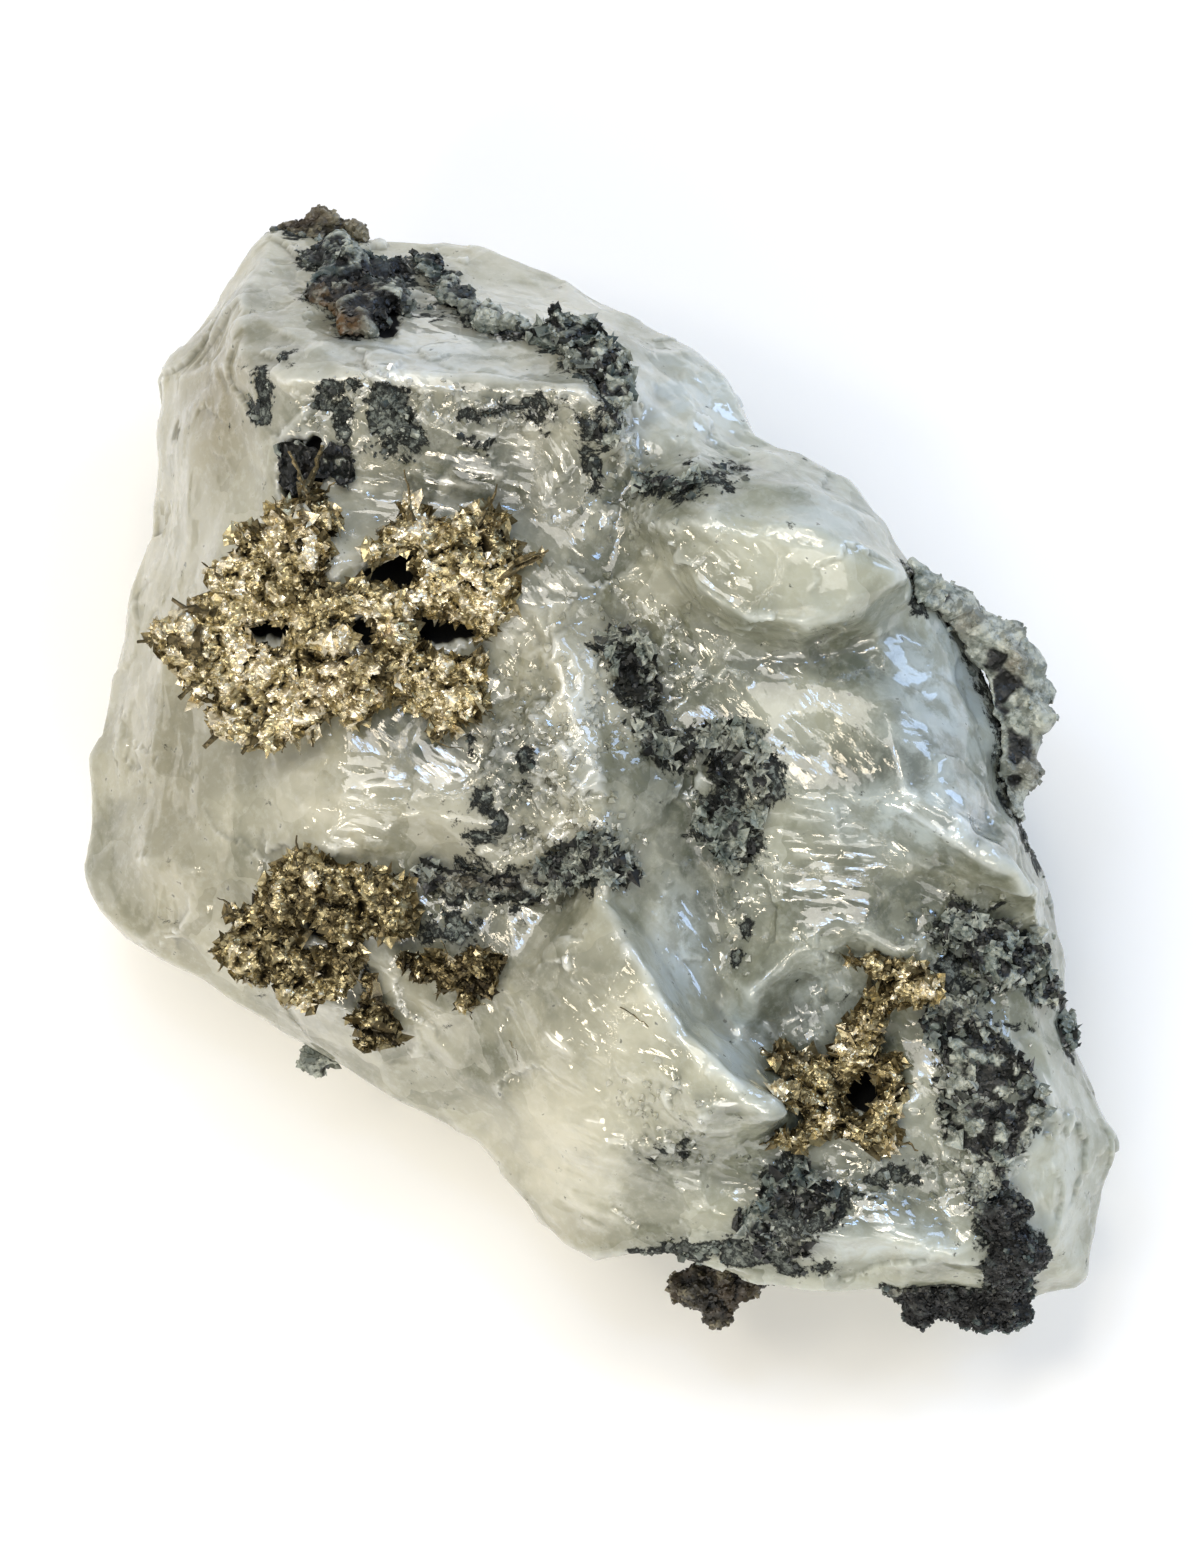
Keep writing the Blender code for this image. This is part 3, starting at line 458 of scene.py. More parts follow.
def make_block():
    """The calcite block, with its foot left flat."""
    block = merged_copy("matrix", "calcite_block")
    remesh(block, BLOCK_VOXEL)
    smooth(block, 6)
    points = points_of(block)
    free = 1 - fade(points[:, 2] / MM, 2.5)
    rounded = np.clip(sum_of(on_face(points), ROUNDED), 0, 1)
    points += (sharpened(block, points) - points) * (free * (1 - rounded))[:, None]
    face = on_face(points)
    normals = normals_of(block)
    sugary = np.clip(sum_of(face, SUGARY), 0, 1)
    holes = sum_of(face, HOLES)
    holes = np.clip(holes * 2.2 + noise_at(points / (0.9 * MM), 2, 8) * (holes > 0.05) * 0.8, 0, 1)
    hidden = fade(np.clip(face[:, 2] - HIDDEN_BELOW, 0, None), 10)
    plates = np.clip(sum_of(face, PLATES) + hidden, 0, 1)
    rugged = 1 - 0.8 * np.clip(sum_of(face, SMOOTH), 0, 1)
    broad = noise_at(points / (8 * MM), 2, 3) * 0.3
    bowls = cell_relief(points, *BOWLS) * rugged
    flats = cell_relief(points, *FLATS) * plates
    crystals = cell_relief(points, *CRYSTALS) * sugary
    faces_out = np.clip((normals @ np.array(OUT) - 0.35) * 3, 0, 1)
    ribs, grain_along, grain_across, ribbed, edges = rib_relief(face)
    relief = broad + bowls + flats + crystals + ribs * faces_out - holes * 1.1
    relief = np.clip(relief, -0.2 - faces_out * 1.6, 0.2 + faces_out) * free
    points = keep_in_box(points + normals * relief[:, None] * MM)
    move_points(block, points)
    broad_proud = proudness(block, points, 26)
    proud = proudness(block, points, 5)
    face = on_face(points)
    dust = sum_of(face, DUST) * np.clip(0.85 + noise_at(points / (1.6 * MM), 3, 15) * 1.4, 0.1, 1.6)
    near_ore = nearness_to([node for node in ORE_NODES if node != "ore_nest_neck"], points, 1.3)
    dust = np.maximum(dust, near_ore * 0.9)
    paint(block, {
        # the ribs' thin edges, where the finish paints highlights
        "dust": dust, "hole": holes, "edge": edges * faces_out, "ribbed": ribbed, "sugary": sugary,
        # painted highlight: whiter where the calcite stands proud of its surroundings, on crests and
        # ridges
        "crest": ((proud - 0.02) * 5 + (broad_proud - 0.12) * 1.6) * (1 - 0.8 * rounded) * (1 - near_ore),
        # painted shade: darker where the calcite lies below its surroundings
        "hollow": (-proud - 0.01) * 6 + (-broad_proud - 0.05) * 2,
        "matt": 0.4 - ribbed * 0.9 - sugary * 0.5,
        "crisp": sugary * 0.8 + dust * 1.1 + edges * 0.5,
        "clear": sum_of(face, CLEAR), "milky": sum_of(face, MILKY) + hidden * 0.6,
        # bluish-white patches: partly the calcite's own tone, partly a painted reflection of the window's
        # light
        # painted light: a bluish cast that grows towards the right, where the window's light falls
        "cold": (face[:, 0] + 4) / 14, "cool": sum_of(face, BLUISH_TONE_AND_WINDOW_SHEEN), "warm": sum_of(face, WARM),
        "tint": 0.4 + noise_at(points / (1.5 * MM), 2, 21) * 0.6,
        "sunk": 0.45 - noise_at(points / (1.1 * MM), 2, 22) * 0.5,
        "grit": (dust - 0.4) * 1.4 * np.clip(0.4 + noise_at(points / (0.9 * MM), 3, 12) * 2.4, 0, 1),
    })
    paint(block, {"grain_along": grain_along, "grain_across": grain_across}, -1000, 1000)
    decimate(block, BLOCK_TRIANGLES, hidden)
    block.data.shade_smooth()
    return block


# ---- shapes that are scattered ----

def star_plate(name, seed, points, thin):
    """A closed, bent little plate with a ragged rim, one unit in radius."""
    chance = random.Random(seed)
    bm = bmesh.new()
    top = bm.verts.new((0, 0, thin))
    bottom = bm.verts.new((0, 0, -thin))
    rim = []
    for step in range(points):
        angle = math.tau * (step + chance.uniform(-0.25, 0.25)) / points
        reach = chance.uniform(0.35, 0.6) if step % 2 else chance.uniform(0.75, 1)
        height = chance.uniform(-0.4, 0.4)
        rim.append(bm.verts.new((math.cos(angle) * reach, math.sin(angle) * reach, height)))
    for step in range(points):
        here, after = rim[step], rim[(step + 1) % points]
        bm.faces.new((top, here, after))
        bm.faces.new((bottom, after, here))
    bmesh.ops.recalc_face_normals(bm, faces=bm.faces[:])
    return finished_mesh(bm, name)


def blocky_grain(name, seed, squash):
    """A chipped block: a cube pushed out of true."""
    chance = random.Random(seed)
    bm = bmesh.new()
    bmesh.ops.create_cube(bm, size=1.2)
    for vert in bm.verts:
        vert.co += Vector([chance.uniform(-0.22, 0.22) for _ in range(3)])
        vert.co.z *= squash
    return finished_mesh(bm, name)


def shape_box(name, meshes):
    """A collection of shapes for a scatter to pick from."""
    box = bpy.data.collections.new(name)
    for mesh in meshes:
        box.objects.link(bpy.data.objects.new(mesh.name, mesh))
    return box


# Plain names for what the finishes are made of: Blender's kind of node, its fixed settings, the inputs
# in the order given, and the output that is used.
TRIPLE = (0, 1, 2)
NOISE_INPUTS = ("Vector", "Scale", "Detail", "Roughness", "Distortion")
PLAIN_NODES = {
    "times": ("ShaderNodeMath", {"operation": "MULTIPLY"}, TRIPLE, 0),
    "plus": ("ShaderNodeMath", {"operation": "ADD"}, TRIPLE, 0),
    "less": ("ShaderNodeMath", {"operation": "SUBTRACT"}, TRIPLE, 0),
    "over": ("ShaderNodeMath", {"operation": "DIVIDE"}, TRIPLE, 0),
    "times plus": ("ShaderNodeMath", {"operation": "MULTIPLY_ADD"}, TRIPLE, 0),
    "step": ("ShaderNodeMapRange", {"interpolation_type": "SMOOTHSTEP"}, (0, 1, 2, 3, 4), 0),
    "mix": ("ShaderNodeMix", {"data_type": "RGBA"}, (0, 6, 7), 2),
    "tint": ("ShaderNodeMix", {"data_type": "RGBA", "blend_type": "MULTIPLY"}, (0, 6, 7), 2),
    "place": ("ShaderNodeTexCoord", {}, (), "Object"),
    "normal": ("ShaderNodeNewGeometry", {}, (), "Normal"),
    "noise": ("ShaderNodeTexNoise", {}, NOISE_INPUTS, 0),
    "noise colour": ("ShaderNodeTexNoise", {}, NOISE_INPUTS, "Color"),
    "cells": ("ShaderNodeTexVoronoi", {}, ("Vector", "Scale"), "Color"),
    "split": ("ShaderNodeSeparateColor", {}, (0,), 0),
    "vector": ("ShaderNodeCombineXYZ", {}, TRIPLE, 0),
    "centred": ("ShaderNodeVectorMath", {"operation": "SUBTRACT", 1: (0.5, 0.5, 0.5)}, (0,), 0),
    "moved": ("ShaderNodeVectorMath", {"operation": "ADD"}, (0, 1), 0),
    "scaled": ("ShaderNodeVectorMath", {"operation": "SCALE"}, (0, "Scale"), 0),
    "unit": ("ShaderNodeVectorMath", {"operation": "NORMALIZE"}, (0,), 0),
    "bump": ("ShaderNodeBump", {"Strength": 0.3, "Distance": 0.0002}, ("Height",), 0),
}


def add_node(tree, kind, settings=None, *inputs):
    """Adds a node of a plain or a Blender kind, and gives the output that is used. Settings hold its
    properties and inputs by name, inputs come in their order: numbers, hex colours or other outputs."""
    kind, fixed, order, output = PLAIN_NODES.get(kind, (kind, {}, TRIPLE, 0))
    node = tree.nodes.new(kind)
    for key, value in {**fixed, **(settings or {}), **dict(zip(order, inputs))}.items():
        if isinstance(value, bpy.types.NodeSocket):
            tree.links.new(value, node.inputs[key])
        elif isinstance(key, str) and hasattr(node, key):
            setattr(node, key, value)
        else:
            node.inputs[key].default_value = hex_colour(value) if str(value).startswith("#") else value
    return node.outputs[output] if node.outputs else None


def scatter_tree():
    """Geometry Nodes: strews shapes over a surface where a mask allows, and keeps the surface if asked."""
    tree = bpy.data.node_groups.new("scatter_over_surface", "GeometryNodeTree")
    for name, kind in (("Geometry", "Geometry"), ("Shapes", "Collection"), ("Finish", "Material"),
                       ("Mask", "String"), ("Per square metre", "Float"), ("Smallest", "Float"),
                       ("Largest", "Float"), ("Lean", "Float"), ("Keep surface", "Bool"), ("Seed", "Int")):
        tree.interface.new_socket(name, in_out="INPUT", socket_type="NodeSocket" + kind)
    tree.interface.new_socket("Geometry", in_out="OUTPUT", socket_type="NodeSocketGeometry")
    put = partial(add_node, tree)
    given = put("NodeGroupInput").node.outputs
    mask = put("GeometryNodeInputNamedAttribute", {"data_type": "FLOAT", "Name": given["Mask"]})
    allowed = put("times", None, mask.node.outputs["Attribute"], given["Per square metre"])
    spread = put("GeometryNodeDistributePointsOnFaces",
                 {"Mesh": given["Geometry"], "Density": allowed, "Seed": given["Seed"]}).node.outputs
    shapes = put("GeometryNodeCollectionInfo",
                 {"Separate Children": True, "Reset Children": True, "Collection": given["Shapes"]})
    size = put("FunctionNodeRandomValue",
               {"data_type": "FLOAT", 2: given["Smallest"], 3: given["Largest"], "Seed": given["Seed"]})
    less = put("times", None, given["Lean"], -1.0)
    low = put("vector", None, less, less, -math.pi)
    high = put("vector", None, given["Lean"], given["Lean"], math.pi)
    lean = put("FunctionNodeRandomValue", {"data_type": "FLOAT_VECTOR", "Seed": given["Seed"]}, low, high)
    turn = put("FunctionNodeEulerToRotation", None, lean)
    aim = put("FunctionNodeRotateRotation", {"rotation_space": "LOCAL"}, spread["Rotation"], turn)
    marked = put("GeometryNodeInstanceOnPoints",
                 {"Pick Instance": True, "Points": spread["Points"], "Instance": shapes, "Rotation": aim,
                  "Scale": size.node.outputs[1]})
    for name, reach in (("tint", 0.4), ("sunk", 0.1)):
        chance = put("FunctionNodeRandomValue", {"data_type": "FLOAT", 2: -reach, 3: reach})
        under = put("GeometryNodeInputNamedAttribute", {"data_type": "FLOAT", "Name": name})
        marked = put("GeometryNodeStoreNamedAttribute",
                     {"data_type": "FLOAT", "domain": "INSTANCE", "Name": name, "Geometry": marked,
                      "Value": put("plus", None, under, chance.node.outputs[1])})
    real = put("GeometryNodeRealizeInstances", None, marked)
    kept = put("GeometryNodeSwitch",
               {"input_type": "GEOMETRY", "Switch": given["Keep surface"], "True": given["Geometry"]})
    joined = put("GeometryNodeJoinGeometry", None, real)
    tree.links.new(kept, joined.node.inputs[0])
    finish = put("GeometryNodeSetMaterial", {"Geometry": joined, "Material": given["Finish"]})
    put("NodeGroupOutput", None, finish)
    return tree


def scatter(obj, tree, shapes, finish, mask, thick, sizes, lean, seed, keep_surface=True):
    """Strews shapes over obj, thick of them on a square millimetre, and bakes the result into its mesh."""
    modifier = add_modifier(obj, "NODES", {"node_group": tree})
    given = {"Shapes": shapes, "Finish": finish, "Mask": mask, "Per square metre": thick / MM**2,
             "Smallest": sizes[0], "Largest": sizes[1], "Lean": lean, "Keep surface": keep_surface,
             "Seed": seed}
    for item in tree.interface.items_tree:
        if item.in_out == "INPUT" and item.name in given:
            modifier[item.identifier] = given[item.name]
    apply_modifiers(obj)


# ---- silver ----

SILVER_VOXEL = 0.2
FINE_LEAVES = 7.0  # on each square millimetre
TORN_LEAVES = 2.2
# How much darker the tarnish of a growth is than the upper mat's.
TARNISH = {"silver_mat_upper": 0.08, "silver_mat_lower": 0.5, "silver_tuft": 0.7, "silver_twig": 0.8,
           "silver_branch_right": 0.4, "silver_neck": 0.4}
SLIMMER = {"silver_twig": 0.4, "silver_tuft": 0.25, "silver_branch_right": 0.15}

# Wires that stand out of the silver: across, up, out of the root, and of the tip, then both radii.
WIRES = [
    (-28, 9.4, -2.2, -32.6, 9.4, -3.2, 1.5, 0.1), (-27, 11.4, -2, -30.1, 12.4, -2.4, 0.5, 0.16),
    (-26.6, 13.8, -2, -28, 15, -2, 0.2, 0.06), (-24.2, 16, -1.6, -25.6, 17.6, -1.4, 0.2, 0.06),
    (-22, 17.6, -1.2, -23, 19.6, -0.8, 0.2, 0.05), (-13.2, 17.8, 0, -13.7, 21.4, 0.6, 0.3, 0.08),
    (-8.6, 17.6, 0, -7.2, 20.4, 0.6, 0.26, 0.07), (-6.4, 14.6, 0, -3.6, 15.8, 0.2, 0.34, 0.1),
    (-26, 4.2, -2.4, -27.8, 1.9, -3, 0.34, 0.1), (-24, 3.8, -2.4, -25.2, 1.6, -3.2, 0.2, 0.06),
    (-22.4, 3.8, -2.6, -23.4, 1.3, -3.4, 0.2, 0.05), (-21.8, 3.6, -2.8, -22.4, 1.6, -3.8, 0.18, 0.05),
    (-20, 4.4, -2.6, -20.2, 2, -3.2, 0.2, 0.06), (-10.8, 4.2, -1.6, -11.4, 2.4, -1.4, 0.3, 0.1),
    (-8.8, 5.2, -1.6, -7.4, 4.2, -1.4, 0.14, 0.05), (-12.2, 2.8, -2, -9.6, 1.9, -1.8, 0.07, 0.04),
    (-21.4, -6.4, -2.6, -21.3, -4.2, -1.8, 0.22, 0.08), (-25.6, -9.6, -4, -27, -8.6, -3.8, 0.2, 0.06),
    (-16.4, -7.6, -3, -16.4, -6.2, -2.4, 0.16, 0.05), (-13.8, -8.6, -3, -13.4, -6.8, -2.4, 0.18, 0.05),
    (-18, -12.8, -3.4, -16.8, -14.6, -3.6, 0.2, 0.07), (-9.6, -15.8, -4, -9, -17.2, -4, 0.14, 0.05),
    (-10.8, -13.6, -4, -11.2, -11.6, -3.4, 0.1, 0.04), (-14.6, -18.4, -5, -13.8, -19, -5, 0.16, 0.06),
    (12.4, -19.8, -3.4, 11.2, -19.2, -2.8, 0.2, 0.06), (12.8, -22.6, -3.6, 11.4, -23, -3.2, 0.2, 0.06),
    (12.6, -25.4, -3.6, 11.2, -26, -3.2, 0.2, 0.06), (17.8, -12.9, -2, 17.3, -11.9, -1.4, 0.2, 0.06),
    (21, -25.8, -3.4, 22.4, -26.4, -3, 0.2, 0.06), (20.8, -22, -4, 22.2, -21.6, -3.6, 0.16, 0.05),
    (1.4, -16.2, 0.2, 3.4, -17.6, 0.6, 0.07, 0.03), (-6.4, -18.6, -2, -5.8, -20, -1.8, 0.05, 0.03),
    (-19.6, 17.4, -2, -20.7, 20.8, -2.2, 0.6, 0.34), (-20.6, 20.4, -2.2, -19.5, 23.2, -2.6, 0.36, 0.14),
    (-20.7, 20.2, -2.2, -21.9, 22.8, -2.5, 0.34, 0.12), (-20.2, 19.2, -2.1, -18.6, 20.6, -2.2, 0.26, 0.1),
    (-26, 4.4, -2.6, -27.9, 2, -3, 0.7, 0.15), (-23.2, 3.6, -2.8, -25.2, 1.5, -3, 0.6, 0.15),
    (-22.8, 3.4, -2.8, -23.4, 1.4, -3.2, 0.3, 0.1), (-20.6, 4, -2.8, -20.1, 2.3, -3, 0.36, 0.12),
    (-27.6, 7.4, -2.6, -29.6, 5.4, -3, 0.6, 0.2), (-28, 8.8, -2.4, -30.4, 8, -2.8, 0.8, 0.3),
    (-12, 3.4, -2, -11.3, 2.6, -1.6, 0.5, 0.2), (-7.8, 12.6, -0.6, -4.2, 15.4, -0.2, 0.5, 0.16),
]


def add_wire(bm, wire, seed):
    """A bent, tapering, flattened wire with five sides and closed ends."""
    chance = random.Random(seed)
    a, b = face_point(*wire[:3]), face_point(*wire[3:6])
    root, tip = wire[6:]
    along = (b - a).normalized()
    side = along.cross(OUT).normalized()
    thick = along.cross(side) * 0.45
    bow = side * chance.uniform(-0.08, 0.08) + along.cross(side) * chance.uniform(-0.08, 0.08)
    rings = []
    steps = 6
    for step in range(steps + 1):
        share = step / steps
        jog = Vector([chance.uniform(-1, 1) for _ in range(3)]) * 0.14 * MM * (0 < step < steps)
        middle = a.lerp(b, share) + bow * (b - a).length * math.sin(share * math.pi) + jog
        radius = (root + (tip - root) * share ** 0.6) * 0.9 * MM * chance.uniform(0.6, 1.4)
        turns = [math.tau * corner / 5 for corner in range(5)]
        rings.append([bm.verts.new(middle + (side * math.cos(turn) + thick * math.sin(turn)) * radius)
                      for turn in turns])
    for low, high in zip(rings, rings[1:]):
        for corner in range(5):
            bm.faces.new((low[corner], low[(corner + 1) % 5], high[(corner + 1) % 5], high[corner]))
    bm.faces.new(rings[0][::-1])
    bm.faces.new(rings[-1])


def make_wires(metal):
    bm = bmesh.new()
    for seed, wire in enumerate(WIRES):
        add_wire(bm, wire, seed)
    bmesh.ops.recalc_face_normals(bm, faces=bm.faces[:])
    wires = new_object("silver_wires", finished_mesh(bm, "silver_wires"))
    wires.data.materials.append(metal)
    paint(wires, {"tint": 0.1, "sunk": 0.72})
    return wires


def make_silver(node, metal, leaves, tree, seed):
    """One growth of silver: crumpled and hackly, bristling with torn leaves at its edges."""
    dull = TARNISH.get(node, 0)
    body = merged_copy(node, node + "_hackly")
    remesh(body, SILVER_VOXEL)
    keep_largest(body)
    smooth(body, 2)
    points = points_of(body)
    normals = normals_of(body)
    lumps = noise_at(points / (3 * MM), 3, seed)
    crumple = cell_relief(points, 1.0, 0.12, 1.0, seed)
    torn = ridges_at(points / (1.7 * MM), 3, seed + 2) - 0.5
    ragged = noise_at(points / (0.5 * MM), 2, seed + 5)
    relief = lumps * 0.6 + crumple * 0.34 + torn * 0.28 + ragged * 0.1 - SLIMMER.get(node, 0)
    points = keep_in_box(points + normals * relief[:, None] * MM)
    move_points(body, points)
    proud = proudness(body, points, 5) * 1.6 + proudness(body, points, 30) * 0.8
    border = 1 - np.abs(normals @ np.array(OUT))
    patches = noise_at(points / (3 * MM), 2, seed + 8)
    # painted shade: nearly black where the silver lies below its surroundings, also darker on
    # sideways-turned surfaces and with each growth's darker tarnish; painted highlight: paler where it
    # stands proud
    paint(body, {
        "sunk": 0.2 - proud * 1.2 + np.clip(border - 0.5, 0, 1) * 0.9 + dull * 0.5,
        "tint": 0.62 + proud * 0.7 + ragged * 0.25 + patches * 0.5 - border * 0.6 - dull * 0.7,
        "border": (border - 0.35) * 2, "everywhere": 1,
    })
    scatter(body, tree, leaves, metal, "everywhere", FINE_LEAVES, (0.00014, 0.00042), 0.7, seed)
    scatter(body, tree, leaves, metal, "border", TORN_LEAVES, (0.0003, 0.0012), 1.2, seed + 100)
    return body


# ---- ore ----

ORE_VOXEL = 0.25

# How each clump looks: how wide its lumps are in millimetres, how deep its middle is eaten out, the
# crystals and the grains on a square millimetre, how black, how pale, and how far its top is let down.
ORE_LOOKS = {
    "ore_tip_top": (1.8, 0.0, 0.1, 3, 0.1, -0.4, 0), "ore_knob_top": (1.7, 0.3, 0, 3, 0.2, -0.6, 0),
    "ore_vein_back": (1.6, 0.1, 0, 3, 0.05, -0.4, 0), "ore_knob_ridge": (1.6, 0.8, 0.6, 5, 0.05, 0.1, 0),
    "ore_nest_neck": (1.4, 2.0, 0.0, 1, 0.8, 0, 0.4), "ore_lens_edge": (1.4, 1.1, 1, 4, 0, 0.1, 0.2),
    "ore_nest_upper": (1.4, 1.7, 2.0, 3, 0, 0.6, 0.4), "ore_nest_small": (1.4, 1.3, 2.0, 3, 0, 0.6, 0.5),
    "ore_nest_centre": (1.6, 2.1, 2.2, 3, 0, 0.7, 0.4), "ore_seam": (1.6, 1.0, 1.2, 6, -0.05, 0.5, 0.9),
    "ore_flank_right": (3, 0, 0, 0.6, -0.05, 0.8, 0), "ore_patch_right": (1.8, 1.0, 0.8, 6, 0, 0.45, 0.3),
    "ore_scree": (2.2, 1.2, 0.4, 6, 0, 0.5, 0.2), "ore_edge_right": (1.8, 0.4, 0.4, 6, 0.25, -0.1, 0),
    "ore_corner": (1.3, 0.3, 0.0, 12, 0.62, -1.0, 0), "ore_nest_bottom": (1.4, 1.7, 1.4, 4, 0, 0.2, 0.4),
    "ore_foot_lump": (1.8, 0.0, 0.0, 5, 0.2, -0.8, 0), "ore_spur_left": (1.6, 0.2, 0.2, 5, 0, 0, 0),
}

# Deep shade in the nests, with strength.
SHADED = [
    (9, 0.2, 1.8, 1.4, 1.3), (7.6, -1.7, 1.2, 1.8, 1.2), (1.9, 7.4, 1, 2.2, 1.2), (3.1, 1.8, 0.8, 1.1, 1),
    (22, -10, 1.6, 1, 0.7), (21, -19, 1.2, 1.6, 0.8), (-17.6, 33.6, 3, 1.2, 0.3),
    (14, -30.6, 1.7, 1.7, 0.8), (24.6, 12.4, 1.2, 1, 0.6), (28.4, 6.4, 1.2, 2.8, 0.9),
    (29.6, 1.6, 1.5, 2.4, 1.0), (30.6, -4, 1.2, 3, 0.7),
]

# Rusty places on the ore, with strength.
RUSTY = [
    (-18.6, 32, 2.4, 1.5, 1.2), (-19.8, 33.8, 1.6, 1.6, 1.0), (-17, 34.6, 1.4, 1, 0.6),
    (22.8, -22, 1.6, 1.2, 1.0), (20.8, -12, 1.6, 1, 0.6), (-20.6, 21.4, 0.7, 2, 0.8),
    (-8, -7.4, 6, 1, 0.5), (19, -34.4, 7, 4, 0.45), (29.4, 8, 1.6, 2.4, 0.4), (30.6, 1, 1.8, 2.4, 0.3),
    (26, 11, 2, 1.6, 0.25),
]


def make_ore(node, finish, grains, leaves, tree, seed):
    """One clump of ore: a pitted mass, eaten out in its middle, with ragged crystals and grains on it."""
    width, depth, crystals, grit, black, pale, let_down = ORE_LOOKS[node]
    body = merged_copy(node, node + "_rough")
    remesh(body, ORE_VOXEL)
    keep_largest(body)
    smooth(body, 2)
    points = points_of(body)
    normals = normals_of(body)
    inner = 1 - np.clip(nearness_to(["matrix"], points, 1.7), 0, 1)
    lumps = noise_at(points / (2.2 * MM), 3, seed)
    pits = ridges_at(points / (width * MM), 3 if width < 2 else 2, seed + 3)
    fine = noise_at(points / (0.45 * MM), 2, seed + 6)
    faces_out = np.clip(normals @ np.array(OUT), 0, 1)
    face = on_face(points)
    holes = np.clip(sum_of(face, HOLES) * 1.6, 0, 1)
    eaten = depth * fade(1 - inner, 0.9) * np.clip(0.75 + lumps, 0, 1.4) * (faces_out > 0.2)
    eaten = eaten + holes * faces_out
    points = points - np.array(OUT) * (let_down * faces_out)[:, None] * MM
    relief = lumps * 0.6 + (0.45 - pits) * 0.65 * math.sqrt(width) + fine * 0.22 / width
    points = points + normals * relief[:, None] * MM
    points = keep_in_box(points - np.array(OUT) * eaten[:, None] * MM)
    move_points(body, points)
    proud = proudness(body, points, int(6 * width ** 2))
    # painted shade: black where the ore lies below its surroundings and where its middle is eaten out,
    # added to the shaded places, the holes and each clump's own blackness
    paint(body, {
        "sunk": 0.38 - proud * 4 / width + eaten * 0.5 + black + holes + sum_of(face, SHADED),
        "tint": 0.5 + fine * 0.5 + lumps * 0.7 + proud * 1.2 + pale,
        "rusty": sum_of(face, RUSTY), "ledges": 0.9 - eaten * 0.6, "everywhere": 1,
    })
    scatter(body, tree, grains, finish, "everywhere", grit, (0.00006, 0.00017 * min(width, 2)), 2.4, seed)
    scatter(body, tree, leaves, finish, "ledges", crystals, (0.0003, 0.00105), 1.1, seed + 50)
    return body


# ---- materials ----

def hex_colour(code):
    """An sRGB hex colour as the linear colour that a shader takes."""
    parts = [int(code[start:start + 2], 16) / 255 for start in (1, 3, 5)]
    return tuple(p / 12.92 if p <= 0.04045 else ((p + 0.055) / 1.055) ** 2.4 for p in parts) + (1.0,)


def new_material(name, settings):
    """A Principled material with its constant settings on the shader's own sockets. Gives it, and a
    function that puts a node in its tree."""
    material = bpy.data.materials.new(name)
    material.use_nodes = True
    shader = material.node_tree.nodes["Principled BSDF"]
    for socket, value in settings.items():
        shader.inputs[socket].default_value = value

    def put(kind, *inputs, **properties):
        return add_node(material.node_tree, kind, properties, *inputs)
    return material, put


def finished(material, sources):
    """The material, with these outputs linked to its shader."""
    tree = material.node_tree
    for socket, source in sources.items():
        tree.links.new(source, tree.nodes["Principled BSDF"].inputs[socket])
    return material


def painted(put, name):
    """Numbers that were painted on the piece."""
    return put("ShaderNodeAttribute", attribute_name=name).node.outputs["Fac"]


def layered(put, body, layers):
    """Lays colours over body one after another: each layer says how much of it shows, and its colour."""
    for shown, colour in layers:
        body = put("mix", shown, body, colour)
    return body


def grain(put, size, detail, roughness=0.6, distortion=0.0):
    """Noise on the piece's own coordinates; size is the grain's width in millimetres."""
    return put("noise", put("place"), 1 / (size * MM), detail, roughness, distortion)


def warped_place(put, size, reach):
    """The piece's own coordinates pushed about by noise; size in millimetres, reach in metres."""
    waves = put("centred", put("noise colour", put("place"), 1 / (size * MM), 2))
    return put("moved", put("place"), put("scaled", waves, reach))


def tipped(put, cells, strength, normal):
    """A normal that tips at random from one cell of a pattern to the next."""
    return put("unit", put("moved", normal, put("scaled", put("centred", cells), strength)))


def sparkle(put, size, strength, normal=None):
    """A normal that tips at random from one tiny facet to the next; size is a facet's width in mm."""
    return tipped(put, put("cells", put("place"), 1 / (size * MM)), strength, normal or put("normal"))


def cleavage_place(put, length, width, waver):
    """The place along and across the cleavage, counted in cells of this length and width in mm."""
    across = put("over", painted(put, "grain_across"), width)
    across = put("times plus", grain(put, 1.5, 2), waver, across)
    return put("vector", put("over", painted(put, "grain_along"), length), across)


